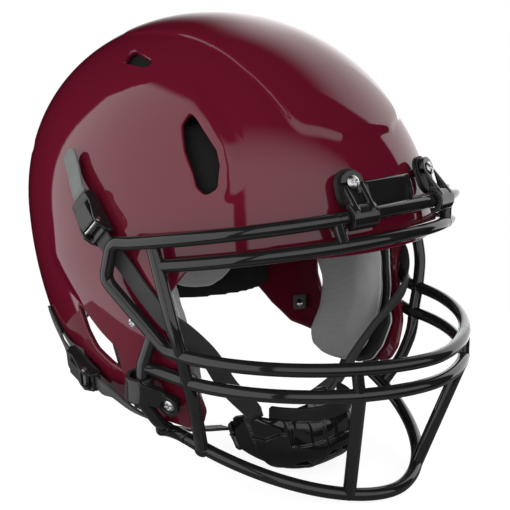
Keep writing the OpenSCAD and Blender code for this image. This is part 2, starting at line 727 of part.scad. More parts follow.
module buckle_screw() {
    translate([buckle_screw_x, 0, tray_z + 0.65]) cylinder(d = 8, h = 1.2);
    translate([buckle_screw_x, 0, -shell_wall - 5.6]) cylinder(d = clip_screw_d, h = shell_wall + tray_z + 6.6);
}
module buckle_nut_plate(turn) {
    translate([buckle_screw_x, 0, -shell_wall - panel_rise - 2.6]) difference() {
        rotate([0, 0, turn]) linear_extrude(height = 2) offset(r = 1.5, $fn = 16) square(8, center = true);
        translate([0, 0, -1]) cylinder(d = clip_screw_d + 0.04, h = 5);
    }
}
module at_buckles() {
    for (m = [0, 1]) mirror([m, 0, 0]) {
        upper_seat() children();
        lower_seat() children();
    }
}
module upper_buckle_right() {
    color(gloss_black) placed() upper_seat() buckle();
}
module upper_buckle_left() {
    color(gloss_black) placed() mirrored() upper_seat() buckle();
}
module lower_buckle_right() {
    color(gloss_black) placed() lower_seat() buckle();
}
module lower_buckle_left() {
    color(gloss_black) placed() mirrored() lower_seat() buckle();
}
module upper_lever_right() {
    color(gloss_black) placed() upper_seat() lever();
}
module upper_lever_left() {
    color(gloss_black) placed() mirrored() upper_seat() lever();
}
module lower_lever_right() {
    color(gloss_black) placed() lower_seat() lever();
}
module lower_lever_left() {
    color(gloss_black) placed() mirrored() lower_seat() lever();
}
module lever_pins() {
    color(steel) placed() at_buckles() lever_pin();
}
module buckle_screws() {
    color(steel) placed() at_buckles() buckle_screw();
}
module buckle_nut_plates() {
    color(steel) placed() for (m = [0, 1]) mirror([m, 0, 0]) {
        upper_seat() buckle_nut_plate(45);
        lower_seat() buckle_nut_plate(-25);
    }
}

// Webbing straps: each stop is a point and the direction that the webbing's face looks
function on_side(y, z, proud) =
    let (p = [-form_x(y, z, proud), y, z])
    [p, form_normal([-form_x(y, z, 0), y, z])];
function in_seat(base, n, along, x, z) =
    let (b = unit(cross(n, along)))
    [base + cross(b, n) * x + n * z, n];
function curve_at(a, b, c, d, t) =
    ((b * 2) + (c - a) * t + (a * 2 - b * 5 + c * 4 - d) * t * t + (b * 3 - a - c * 3 + d) * t * t * t) / 2;
function smooth(stops, steps) =
    let (last = len(stops) - 1)
    concat([for (i = [0:last - 1], j = [0:steps - 1])
        curve_at(stops[max(i - 1, 0)], stops[i], stops[i + 1], stops[min(i + 2, last)], j / steps)],
        [stops[last]]);
module strap(stops, tip, extra = 0) {
    line = smooth(stops, 3);
    last = len(line) - 1;
    skin([for (i = [0:last])
        let (t = unit(line[min(i + 1, last)][0] - line[max(i - 1, 0)][0]))
        let (across = unit(cross(line[i][1], t)))
        let (face = cross(t, across))
        let (w = strap_w / 2 * (i == 0 ? tip : 1) + extra)
        let (h = strap_t / 2 + extra)
        [line[i][0] - across * w - face * h, line[i][0] + across * w - face * h,
         line[i][0] + across * w + face * h, line[i][0] - across * w + face * h]]);
}
strap_mid = strap_z + strap_t / 2;
upper_n = form_normal(upper_base);
lower_n = form_normal(lower_base);
module upper_strap(extra = 0) {
    strap([on_side(30, 54, 6), on_side(20, 43, 5.8), in_seat(upper_base, upper_n, upper_run, -22, strap_mid + 0.3),
        in_seat(upper_base, upper_n, upper_run, -16.5, strap_mid),
        in_seat(upper_base, upper_n, upper_run, -8, strap_mid),
        in_seat(upper_base, upper_n, upper_run, 8, strap_mid),
        in_seat(upper_base, upper_n, upper_run, 15, strap_mid),
        in_seat(upper_base, upper_n, upper_run, 19.5, strap_mid - 0.5),
        on_side(-31, -9, panel_rise + 1.5), on_side(-41, -20, panel_rise + 1.35),
        on_side(-50, -29.5, panel_rise + 1.35), on_side(-57, -36.5, panel_rise + 1.5),
        [[-106.2, -66.5, -45], [-0.78, -0.6, 0.15]], [[-95.6, -70.5, -56.5], [-0.55, -0.8, 0.22]],
        [[-84, -67.6, -67.8], [-0.45, -0.88, 0.1]], [[-74, -63.2, -79], [-0.5, -0.86, 0.1]],
        [[-61, -59.9, -93.8], [-0.5, -0.85, 0.18]],
        [[-43, -59, -111.5], [-0.5, -0.82, 0.2]], [[-39, -57.2, -116.5], [-0.5, -0.82, 0.2]]], 0.55, extra);
}
module lower_strap() {
    strap([on_side(86, -63, 1.3), on_side(76, -69, 1.8), on_side(63, -77, 2.8),
        in_seat(lower_base, lower_n, lower_run, -22, strap_mid - 0.6),
        in_seat(lower_base, lower_n, lower_run, -16.5, strap_mid),
        in_seat(lower_base, lower_n, lower_run, -8, strap_mid),
        in_seat(lower_base, lower_n, lower_run, 8, strap_mid),
        in_seat(lower_base, lower_n, lower_run, 15, strap_mid),
        in_seat(lower_base, lower_n, lower_run, 19.5, strap_mid + 0.2),
        [[-111.4, -2.5, -97], [-0.85, 0, -0.53]], [[-105, -16, -106.6], [-0.72, 0, -0.69]],
        [[-93, -25, -115.4], [-0.5, 0, -0.87]], [[-75, -30.8, -124], [-0.4, -0.05, -0.92]],
        [[-cup_w / 2 * 0.985 - 1.95, -34, -131.5], [-0.15, -0.1, -0.98]]], 0.55);
}
module upper_strap_right() {
    color(strap_grey) placed() upper_strap();
}
module upper_strap_left() {
    color(strap_grey) placed() mirrored() upper_strap();
}
module lower_strap_right() {
    color(strap_grey) placed() lower_strap();
}
module lower_strap_left() {
    color(strap_grey) placed() mirrored() lower_strap();
}

// Chin cup: a hard bowl with strap channels, a soft pad inside and a band along its top edge
cup_side = [[1, 0.9], [1, 0.1], [0.8, -0.46], [0.6, -0.86], [0.42, -1], [0.24, -0.94], [0.08, -0.56],
    [0, -0.24], [0.015, 0.4], [0.05, 1], [0.3, 1.3], [0.75, 1.3]];
cup_slices = [0.985, 0.94, 0.85, 0.7, 0.5, 0.25, 0, -0.25, -0.5, -0.7, -0.85, -0.94, -0.985];
cup_back_y = cup_d - cup_front;
module cup_form(proud) {
    k = 1 + proud / (cup_d / 2);
    skin([for (u = cup_slices)
        let (deep = pow(1 - pow(abs(u), 2.6), 1 / 2.6))
        let (tall = 0.4 + 0.6 * sqrt(1 - pow(abs(u), 3)))
        [for (q = cup_side)
            let (y = cup_back_y - cup_d * (1 - q[0]) * deep)
            let (z = (0.3 + (q[1] - 0.3) * tall) * cup_h / 2)
            [u * (cup_w / 2 + proud), -cup_front + cup_d / 2 + (y + cup_front - cup_d / 2) * k,
             -cup_z + (z + 1) * k - 1]]]);
}
// Everything above the rim of the hard cup, or above the soft band that rises out of it
band_rise = 10;
module above_rim(rise) {
    translate([0, 0, -cup_z + cup_h * 0.36 + rise]) rotate([-3, 0, 0])
        translate([-100, -200, 0]) cube([200, 300, 60]);
}
// Extrudes an outline given in the cup's side view as [y, z], from a half width outwards
module cup_side_view(points, from_x) {
    for (m = [0, 1]) mirror([m, 0, 0])
        translate([from_x, 0, 0]) rotate([90, 0, 90]) linear_extrude(height = 60) polygon(points);
}
// The same for an outline given in the front view as [x, z], ahead of a depth
module cup_front_view(points, from_y) {
    translate([0, from_y, 0]) rotate([90, 0, 0]) linear_extrude(height = 60) polygon(points);
}
// Slab across the cup's side from the rear lobe down to the floor, as wide as given
module cup_lane(wide) {
    translate([0, -55.5, -cup_z - 12.5]) rotate([-30, 0, 0]) cube([200, wide, 160], center = true);
}
lane_w = strap_w + 2.4;
pocket = [[-53, 4], [-66.4, 3.1], [-75.7, 8.8], [-80, 9.2], [-84.5, 1.1], [-83.5, -5], [-77, -15], [-60, -26], [-50, -26]];
bowl_edge = [[-31, 1], [-20, 3.2], [-12, 4.6], [0, 6.2], [12, 4.6], [20, 3.2], [31, 1], [31, -40], [-31, -40]];
module chin_cup() {
    color(gloss_black) placed() difference() {
        union() {
            cup_form(0);
            // Rails beside each strap's lane, and the pockets ahead of them
            intersection() {
                cup_form(1.5);
                difference() {
                    cup_lane(lane_w + 4);
                    cup_lane(lane_w);
                    cube([40, 400, 400], center = true);
                }
            }
            intersection() {
                cup_form(1.1);
                translate([0, 0, -cup_z]) cup_side_view(pocket, 26);
                translate([0, -100, 0]) difference() {
                    cube([200, 200, 400], center = true);
                    translate([0, 100, 0]) cup_lane(lane_w + 3);
                }
            }
            // Lower bowl stands proud of the upper front, which has four upright ribs
            intersection() {
                cup_form(0.9);
                translate([0, 0, -cup_z]) cup_front_view(bowl_edge, -72);
            }
            intersection() {
                cup_form(1.3);
                for (x = [-30.5, -12, 12, 30.5]) translate([x, -100, -cup_z]) cube([1.8, 60, 60], center = true);
            }
        }
        cup_form(-cup_wall);
        above_rim(0);
        // Rear lobes are rounded off at the top
        translate([0, 0, -cup_z]) cup_side_view([[-20, 30], [-62, 30], [-58, 15.2], [-47, 15.6], [-40, 13],
            [-35.5, 8], [-33.6, 0], [-33.6, -12], [-20, -12]], 16);
        translate([0, cup_back_y + 20 - 3, -cup_z]) cube([200, 40, 100], center = true);
        // Triangular air openings low in the front
        translate([0, 0, -cup_z]) for (m = [0, 1]) mirror([m, 0, 0]) {
            cup_front_view([[-26.5, -13.5], [-23.5, -9], [-15, -15]], -72);
            cup_front_view([[-10.5, -8], [-7.4, -3.6], [-2.4, -3.8], [-3, -6.6]], -80);
        }
        // Slots where the upper straps go in
        for (m = [0, 1]) mirror([m, 0, 0]) upper_strap(0.5);
    }
}
module chin_cup_pad() {
    color(pad_grey) placed() difference() {
        cup_form(-cup_wall - slack - 1.2);
        cup_form(-cup_wall - slack - 5.5);
        above_rim(-6);
        for (m = [0, 1]) mirror([m, 0, 0]) upper_strap(0.8);
        translate([0, cup_back_y + 20 - 7, -cup_z]) cube([200, 40, 100], center = true);
    }
}
module chin_cup_band() {
    color(gloss_black) placed() difference() {
        cup_form(-cup_wall - slack);
        cup_form(-cup_wall - slack - 2.6);
        above_rim(band_rise);
        translate([0, -46, -cup_z]) cube([200, 40, 100], center = true);
        translate([0, 0, -100 - cup_z + cup_h * 0.36 - 5.7]) rotate([-3, 0, 0]) cube([200, 300, 200], center = true);
    }
}

// Cushions of the liner: a rounded patch on the inside of the form
function spin_frame(az, el) = [[-sin(az), cos(az), 0], [-cos(az) * sin(el), -sin(az) * sin(el), cos(el)]];
// Rows of a cushion's side view: share of the half width, share of the thickness
cushion_rows = [[0.02, 0], [0.94, 0], [1, 0.34], [0.985, 0.68], [0.92, 0.88], [0.76, 0.98],
    [0.45, 1.03], [0.02, 1.05]];
module cushion(az, el, half_w, half_h, depth, thick, square_to = 0.6, columns = 18) {
    c = heading(az, el);
    f = spin_frame(az, el);
    reach = 1 / form_measure(c, -depth);
    skin([for (r = cushion_rows) [for (j = [0:columns - 1])
        let (a = -360 * j / columns)
        let (u = half_w * r[0] * signed_power(cos(a), square_to) / reach)
        let (v = half_h * r[0] * signed_power(sin(a), square_to) / reach)
        form_point(c + f[0] * u + f[1] * v, -depth - thick * r[1])]]);
}
// Cushion on the flank whose outline is given in the side view as [y, z]
module flank_cushion(points, depth, thick) {
    mid = [for (a = [0, 1]) (max([for (q = points) q[a]]) + min([for (q = points) q[a]])) / 2];
    skin([for (r = cushion_rows) [for (i = [len(points) - 1:-1:0])
        let (q = points[i])
        let (y = mid.x + (q.x - mid.x) * r[0])
        let (z = mid.y + (q.y - mid.y) * r[0])
        [-form_x(y, z, -depth - thick * r[1]), y, z]]]);
}
inside = shell_wall + pad_gap;
module crown_pad() {
    color(pad_grey) placed() cushion(-90, 84, 52, 62, inside, pad_t);
}
module front_pad() {
    color(pad_grey) placed() cushion(-90, 34, 56, 19, inside, pad_t - 3, 0.5);
}
module side_pad() {
    cushion(203, 27, 62, 27, inside, pad_t, 0.5);
}
module side_pad_right() {
    color(gloss_black) placed() side_pad();
}
module side_pad_left() {
    color(gloss_black) placed() mirrored() side_pad();
}
rear_liner_t = 6;
module rear_liner() {
    color(gloss_black) placed() for (m = [0, 1]) mirror([m, 0, 0])
        cushion(120, -26.5, 48, 24, inside + 0.4, rear_liner_t, 0.5);
}
module rear_pad() {
    cushion(118.5, -24.5, 31, 24, inside + 1.1 + rear_liner_t * 1.1, 14, 1);
}
module rear_pad_right() {
    color(pad_grey) placed() rear_pad();
}
module rear_pad_left() {
    color(pad_grey) placed() mirrored() rear_pad();
}
carrier_t = 4;
jaw_outline = [[14, -16], [16, -30], [15, -40], [9, -51], [3, -64], [2, -84], [4, -100], [-2, -111],
    [-16, -114], [-32, -114], [-45, -109], [-52, -98], [-55, -84], [-57, -70], [-56, -57], [-52, -44],
    [-49, -30], [-46, -18], [-24, -9], [4, -9]];
module jaw_carrier() {
    difference() {
        flank_cushion([for (q = jaw_outline) [q.x - (q.x < -10 && q.y < -75 ? 8 : 0), q.y]], inside - 0.2, carrier_t);
        side_seat() translate([0, 0, -22]) cylinder(r = 9, h = 22);
        flank_seat() translate([0, 0, -22]) cylinder(r = 5.6, h = 22);
    }
}
module jaw_pad() {
    flank_cushion(jaw_outline, inside - 0.2 + carrier_t * 1.07, jaw_pad_t);
}
module jaw_carrier_right() {
    color(gloss_black) placed() jaw_carrier();
}
module jaw_carrier_left() {
    color(gloss_black) placed() mirrored() jaw_carrier();
}
module jaw_pad_right() {
    color(pad_grey) placed() jaw_pad();
}
module jaw_pad_left() {
    color(pad_grey) placed() mirrored() jaw_pad();
}

shell();
front_bumper();
bumper_screws();
face_guard();
top_clip_right();
top_clip_left();
top_clip_spacers();
top_clip_screws();
top_clip_nuts();
side_clip_right();
side_clip_left();
side_clip_spacers();
side_clip_screws();
side_clip_nuts();
upper_buckle_right();
upper_buckle_left();
lower_buckle_right();
lower_buckle_left();
upper_lever_right();
upper_lever_left();
lower_lever_right();
lower_lever_left();
lever_pins();
buckle_screws();
buckle_nut_plates();
flank_screws();
upper_strap_right();
upper_strap_left();
lower_strap_right();
lower_strap_left();
chin_cup();
chin_cup_pad();
chin_cup_band();
crown_pad();
front_pad();
side_pad_right();
side_pad_left();
rear_liner();
rear_pad_right();
rear_pad_left();
jaw_carrier_right();
jaw_carrier_left();
jaw_pad_right();
jaw_pad_left();
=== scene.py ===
import math
import bpy
import bmesh
import numpy as np
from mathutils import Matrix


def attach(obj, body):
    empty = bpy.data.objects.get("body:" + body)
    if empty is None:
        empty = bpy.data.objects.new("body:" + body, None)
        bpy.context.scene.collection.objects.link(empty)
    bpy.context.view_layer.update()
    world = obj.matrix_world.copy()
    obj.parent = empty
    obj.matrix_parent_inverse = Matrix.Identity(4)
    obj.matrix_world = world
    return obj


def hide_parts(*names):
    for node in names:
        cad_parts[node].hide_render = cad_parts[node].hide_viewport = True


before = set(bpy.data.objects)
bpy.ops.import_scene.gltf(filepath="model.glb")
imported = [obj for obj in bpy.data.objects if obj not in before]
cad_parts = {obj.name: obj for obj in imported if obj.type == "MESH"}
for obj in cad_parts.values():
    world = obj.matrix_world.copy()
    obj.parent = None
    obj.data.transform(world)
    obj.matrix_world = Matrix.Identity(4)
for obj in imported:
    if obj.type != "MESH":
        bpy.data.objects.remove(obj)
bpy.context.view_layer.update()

# Camera: a long lens at the photograph's angle, low in front of the wearer's right shoulder.
# The helmet stands turned three quarters to it, and the whole object fills the frame.
lens = bpy.data.cameras.new("photo_camera")
lens.lens = 84.7
lens.sensor_width = 36
lens.clip_end = 20
camera = bpy.data.objects.new("photo_camera", lens)
camera.location = (-0.5536, -0.5679, 0.3197)
camera.rotation_euler = (math.radians(76.61), 0, math.radians(-44.85))
bpy.context.scene.collection.objects.link(camera)
bpy.context.scene.camera = camera
bpy.context.scene.view_settings.view_transform = "Standard"

# Studio: a dark room with four wide soft boxes, and a white backdrop that only the camera sees.
# Each box is a flat panel of light in the world, and the gloss shows its straight sides and soft top.
world = bpy.data.worlds.new("studio_room")
bpy.context.scene.world = world
world.use_nodes = True
room = world.node_tree
room.nodes.clear()


def added(tree, kind, values, **settings):
    # A new shader node; values holds a number or another node's output for each of its sockets
    node = tree.nodes.new("ShaderNode" + kind)
    for name, setting in settings.items():
        setattr(node, name, setting)
    for socket, value in values.items():
        if hasattr(value, "is_output"):
            tree.links.new(value, node.inputs[socket])
        else:
            node.inputs[socket].default_value = value
    return node


look_at = added(room, "TexCoord", {}).outputs["Generated"]
ray = added(room, "LightPath", {}).outputs


def room_math(kind, a, b):
    return added(room, "Math", {0: a, 1: b}, operation=kind).outputs[0]


def facing(direction):
    return added(room, "VectorMath", {0: look_at, 1: direction}, operation="DOT_PRODUCT").outputs["Value"]


def rises(value, start, end):
    return added(room, "MapRange", {"Value": value, "From Min": start, "From Max": end},
        interpolation_type="SMOOTHSTEP").outputs["Result"]


def falls(value, start, end):
    return room_math("SUBTRACT", 1, rises(value, start, end))


def light_panel(turn, left, right, low, high, fade, strength, side_fade=0.06):
    # Sizes are shares of the panel's distance; turn is its heading, 0 straight ahead of the wearer
    t = math.radians(turn)
    ahead = facing((math.sin(t), -math.cos(t), 0))
    distance = room_math("MAXIMUM", ahead, 0.01)
    sideways = room_math("DIVIDE", facing((math.cos(t), math.sin(t), 0)), distance)
    upward = room_math("DIVIDE", facing((0, 0, 1)), distance)
    lit = rises(ahead, 0.02, 0.05)
    for factor in (rises(sideways, left - 0.03, left + 0.03), falls(sideways, right - side_fade, right),
            rises(upward, low - 0.05, low + 0.05), falls(upward, high - fade, high), strength):
        lit = room_math("MULTIPLY", lit, factor)
    return lit


near_box = light_panel(-113.5, -1.26, 1.26, -0.8, 2.0, 0.45, 1.8)
front_box = light_panel(-35, -0.36, 2.75, -0.1, 2.2, 1.5, 1.7)
far_box = light_panel(105, -0.7, 0.9, -0.4, 1.9, 1.4, 2.0, 0.55)
small_box = light_panel(127, -0.35, 0.42, -0.7, 0.75, 0.6, 1.0, 0.3)
boxes = room_math("ADD", room_math("ADD", room_math("ADD", near_box, front_box), far_box), small_box)
fill_strength = 0.3
fill = room_math("MULTIPLY", room_math("SUBTRACT", 1, ray["Is Glossy Ray"]), fill_strength)
room_light = added(room, "Background", {"Strength": room_math("ADD", boxes, fill)})
room_seen = added(room, "Background", {"Color": (1, 1, 1, 1), "Strength": 1.0})
seen = room_math("MAXIMUM", ray["Is Camera Ray"], ray["Is Transmission Ray"])
room_mix = added(room, "MixShader", {"Fac": seen, 1: room_light.outputs[0], 2: room_seen.outputs[0]})
added(room, "OutputWorld", {0: room_mix.outputs[0]})

# Paper floor: pale, white to the camera, with a faint shadow under the chin bar and the rear rim.
# It is left out of the part and only carries the shadow.
paper = bpy.data.meshes.new("paper_floor")
paper_half = 0.26
paper.from_pydata([(-paper_half, -paper_half, 0), (paper_half, -paper_half, 0), (paper_half, paper_half, 0),
    (-paper_half, paper_half, 0)], [], [(0, 1, 2, 3)])
floor = bpy.data.objects.new("paper_floor", paper)
bpy.context.scene.collection.objects.link(floor)


def begun_look(name, values):
    # A new material, its tree and its main shader, with values for the shader's own sockets
    made = bpy.data.materials.new(name)
    made.use_nodes = True
    shader = made.node_tree.nodes["Principled BSDF"]
    for socket, value in values.items():
        shader.inputs[socket].default_value = value
    return made, made.node_tree, shader


paper_look, tree, sheet = begun_look("paper", {"Base Color": (0.3, 0.3, 0.3, 1), "Roughness": 0.9,
    "Specular IOR Level": 0})
paper_ray = added(tree, "LightPath", {}).outputs
paper_glow = added(tree, "Emission", {"Strength": 0.88})
paper_seen = added(tree, "Math", {0: paper_ray["Is Camera Ray"], 1: paper_ray["Is Transmission Ray"]},
    operation="MAXIMUM")
paper_lit = added(tree, "AddShader", {0: sheet.outputs[0], 1: paper_glow.outputs[0]})
paper_mix = added(tree, "MixShader", {"Fac": paper_seen.outputs[0], 1: sheet.outputs[0], 2: paper_lit.outputs[0]})
tree.links.new(paper_mix.outputs[0], tree.nodes["Material Output"].inputs["Surface"])
paper.materials.append(paper_look)

# Shell: one moulding in tough gloss plastic, 3.6 mm thick, with a raised crown band, raised sides
# and jaw flaps. Vents and ear slots are cut through it, and every cut edge is rounded off.
shell_centre = np.array([0.0, 8.05, 156.6])
half_w, front_reach, rear_reach, crown_h, low_reach = 118.0, 139.0, 160.0, 135.0, 187.0
plan_power, side_power = 2.2, 2.06
lean = 0.1
shell_wall = 3.6


def form_measure(d, proud=0.0):
    b = np.where(d[:, 1] < 0, front_reach, rear_reach) + proud
    c = np.where(d[:, 2] > 0, crown_h, low_reach) + proud
    plan = np.abs(d[:, 0] / (half_w + proud)) ** plan_power + np.abs(d[:, 1] / b) ** plan_power
    return (plan ** (side_power / plan_power) + np.abs(d[:, 2] / c) ** side_power) ** (1 / side_power)


def form_point(d, proud=0.0):
    p = d / form_measure(d, proud)[:, None]
    p[:, 1] += lean * p[:, 2]
    return p


def form_normal(p):
    q = p.copy()
    q[:, 1] -= lean * q[:, 2]
    slope = np.stack([form_measure(q + s) - form_measure(q - s) for s in np.eye(3) * 0.5], 1)
    slope[:, 2] -= lean * slope[:, 1]
    return slope / np.linalg.norm(slope, axis=1)[:, None]


def plan_share(z, proud):
    c = (crown_h if z > 0 else low_reach) + proud
    return (1 - abs(z / c) ** side_power) ** (plan_power / side_power)


def form_x(y, z, proud=0.0):
    u = y - lean * z
    b = (front_reach if u < 0 else rear_reach) + proud
    return (half_w + proud) * max(1e-4, plan_share(z, proud) - abs(u / b) ** plan_power) ** (1 / plan_power)


def form_y(x, z, proud=0.0):
    across = abs(x / (half_w + proud)) ** plan_power
    return lean * z - (front_reach + proud) * max(1e-4, plan_share(z, proud) - across) ** (1 / plan_power)


def rounded_outline(corners, radii):
    pts = np.array(corners, float)
    line = []
    for i, v in enumerate(pts):
        r = radii[i] if hasattr(radii, "__len__") else radii
        a, b = pts[i - 1] - v, pts[(i + 1) % len(pts)] - v
        la, lb = np.linalg.norm(a), np.linalg.norm(b)
        a, b = a / la, b / lb
        half = math.acos(max(-1, min(1, float(a @ b)))) / 2
        if half > 1.52 or r <= 0:
            line.append(v)
            continue
        back = min(r / math.tan(half), 0.48 * la, 0.48 * lb)
        for t in np.linspace(0, 1, 7):
            line.append((v + a * back) * (1 - t) ** 2 + 2 * v * t * (1 - t) + (v + b * back) * t ** 2)
    return np.array(line)


def inside_distance(line, p):
    a, b = line, np.roll(line, -1, 0)
    best = np.full(len(p), 1e18)
    inside = np.zeros(len(p), bool)
    for s, e in zip(a, b):
        run = e - s
        t = np.clip(((p - s) @ run) / max(run @ run, 1e-12), 0, 1)
        best = np.minimum(best, ((p - s - t[:, None] * run) ** 2).sum(1))
        crosses = (s[1] > p[:, 1]) != (e[1] > p[:, 1])
        if abs(run[1]) > 1e-12:
            inside ^= crosses & (p[:, 0] < s[0] + run[0] * (p[:, 1] - s[1]) / run[1])
    return np.where(inside, 1, -1) * np.sqrt(best)


# Side and top views of the edges and openings, from the middle of the form, in mm
shell_edge = rounded_outline([(-200, 1), (-82, 1), (-69, -9), (-59, -23), (-55, -36), (-55, -47), (-59, -60),
    (-70, -80), (-71, -98), (-66, -108), (-56, -112), (-8, -108), (14, -105), (36, -102), (56, -91), (74, -77.5),
    (93, -65), (200, -62), (200, 200), (-200, 200)],
    [0, 10, 14, 14, 12, 12, 16, 14, 9, 8, 8, 20, 20, 14, 16, 36, 46, 0, 0, 0])
ear_slot_edge = rounded_outline([(27, -43), (13, -51), (-12, -66), (-11.5, -83), (2, -80), (16, -73), (22, -63)],
    [5, 12, 4, 3, 9, 9, 8])
side_vent_edge = rounded_outline([(-52, 82), (-51, 76), (-58, 62), (-66, 50), (-70, 42), (-76, 37), (-81, 41),
    (-79, 54), (-75, 62), (-68, 69), (-58, 78)], [3, 3, 9, 9, 6, 4, 4, 8, 8, 8, 3])
crown_edge = rounded_outline([(-49, 70), (-50, -60), (-47, -101), (-24, -113), (0, -115), (24, -113), (47, -101),
    (50, -60), (49, 70)], [30, 60, 14, 14, 20, 14, 14, 60, 30])
side_edge = rounded_outline([(60, 33), (-86, 33), (-89, 42), (-86, 54), (-80, 65), (-66, 80), (-42, 99), (-26, 108),
    (60, 108)], 8)
jaw_edge = rounded_outline([(58, 40), (54, 6), (51, -18), (23, -39), (12, -50), (-10, -66), (-11, -120),
    (-110, -120), (-110, 40)], 5)
vent_view = np.array([-0.766, 0.643])
vent_corners = [(22, 66, 108), (20, 70, 105), (1, 71, 103)]
vent_grow = 3.2
rear_slot_places, rear_slot_z, rear_slot_half_run, rear_slot_r = (40, 75), 44, 8, 3.5


def top_vent_depth(p):
    # The vent is drawn looking in along its own slope on the crown's shoulder
    q = np.stack([p[:, 1], np.abs(p[:, 0]) * vent_view[0] + p[:, 2] * vent_view[1]], 1)
    tri = np.array([(y, x * vent_view[0] + z * vent_view[1]) for y, x, z in vent_corners])
    return np.where(p[:, 2] > 40, vent_grow + np.maximum(-50, inside_distance(tri, q)), -50)


def rear_vent_depth(p):
    best = np.full(len(p), -50.0)
    for x in rear_slot_places:
        run = np.clip(np.abs(p[:, 0]), x - rear_slot_half_run, x + rear_slot_half_run)
        best = np.maximum(best, rear_slot_r - np.hypot(np.abs(p[:, 0]) - run, p[:, 2] - rear_slot_z))
    return np.where(p[:, 1] > 60, best, -50)


def shell_inside(p):
    side = np.stack([p[:, 1], p[:, 2]], 1)
    depth = inside_distance(shell_edge, side)
    depth = np.minimum(depth, -inside_distance(ear_slot_edge, side))
    depth = np.minimum(depth, -inside_distance(side_vent_edge, side))
    return np.minimum(depth, -np.maximum(top_vent_depth(p), rear_vent_depth(p)))


def stepped(t):
    t = np.clip(t, 0, 1)
    return t * t * (3 - 2 * t)


# Each raised panel is the form shifted along one direction, in mm, and its step is step_w wide
step_w = 3.6
side_step_w = 8
crown_shift, side_shift = np.array([0, -2.52, 1.4]), np.array([1.92, -1.68, 0.48])
jaw_shift = np.array([2.4, -0.84, -0.48])


def shell_outside(d):
    # The side panel's step fades low down, at the back and toward the crown, and the jaw's fades upward
    p = form_point(d)
    n = form_normal(p)
    m = n.copy()
    m[:, 0] = np.abs(m[:, 0])
    top, side = p[:, :2], p[:, 1:]
    y, z = p[:, 1], p[:, 2]
    crown = np.where(z > 0, stepped(inside_distance(crown_edge, top) / step_w + 0.5), 0) * np.clip(
        m @ crown_shift, 0, 1.5)
    side_fade = (0.14 + 0.86 * stepped((z - 30) / 48)) * stepped((58 - y) / 60) * stepped((114 - z) / 28)
    flank = stepped(inside_distance(side_edge, side) / side_step_w + 0.5) * side_fade * np.maximum(0, m @ side_shift)
    jaw_step_w = step_w + 9 * stepped((y - 4) / 40)
    jaw = stepped(inside_distance(jaw_edge, side) / jaw_step_w + 0.5) * stepped((14 - z) / 45) * np.maximum(
        0, m @ jaw_shift)
    return p + n * np.maximum(np.maximum(crown, flank), jaw)[:, None]


grid_reach = math.radians(142)


def heading(uv):
    # Crown in the middle of the flat grid, jaw and rear rim at its edge
    r = np.hypot(uv[:, 0], uv[:, 1])
    turn = r * grid_reach
    k = np.where(r > 1e-9, np.sin(turn) / np.maximum(r, 1e-9), grid_reach)
    return np.stack([uv[:, 0] * k, uv[:, 1] * k, np.cos(turn)], 1)


def mesh_piece(name, points, faces):
    # Points are given in mm from the middle of the form
    made = bpy.data.meshes.new(name)
    points = (np.array(points) + shell_centre) / 1000
    made.from_pydata([tuple(v) for v in points], [], [tuple(int(i) for i in f) for f in faces])
    made.validate()
    made.polygons.foreach_set("use_smooth", [True] * len(made.polygons))
    piece = bpy.data.objects.new(name, made)
    bpy.context.scene.collection.objects.link(piece)
    return piece


def slopes(value_of, uv, e):
    return [(value_of(uv + way) - value_of(uv - way)) / (2 * e) for way in ((e, 0), (0, e))]


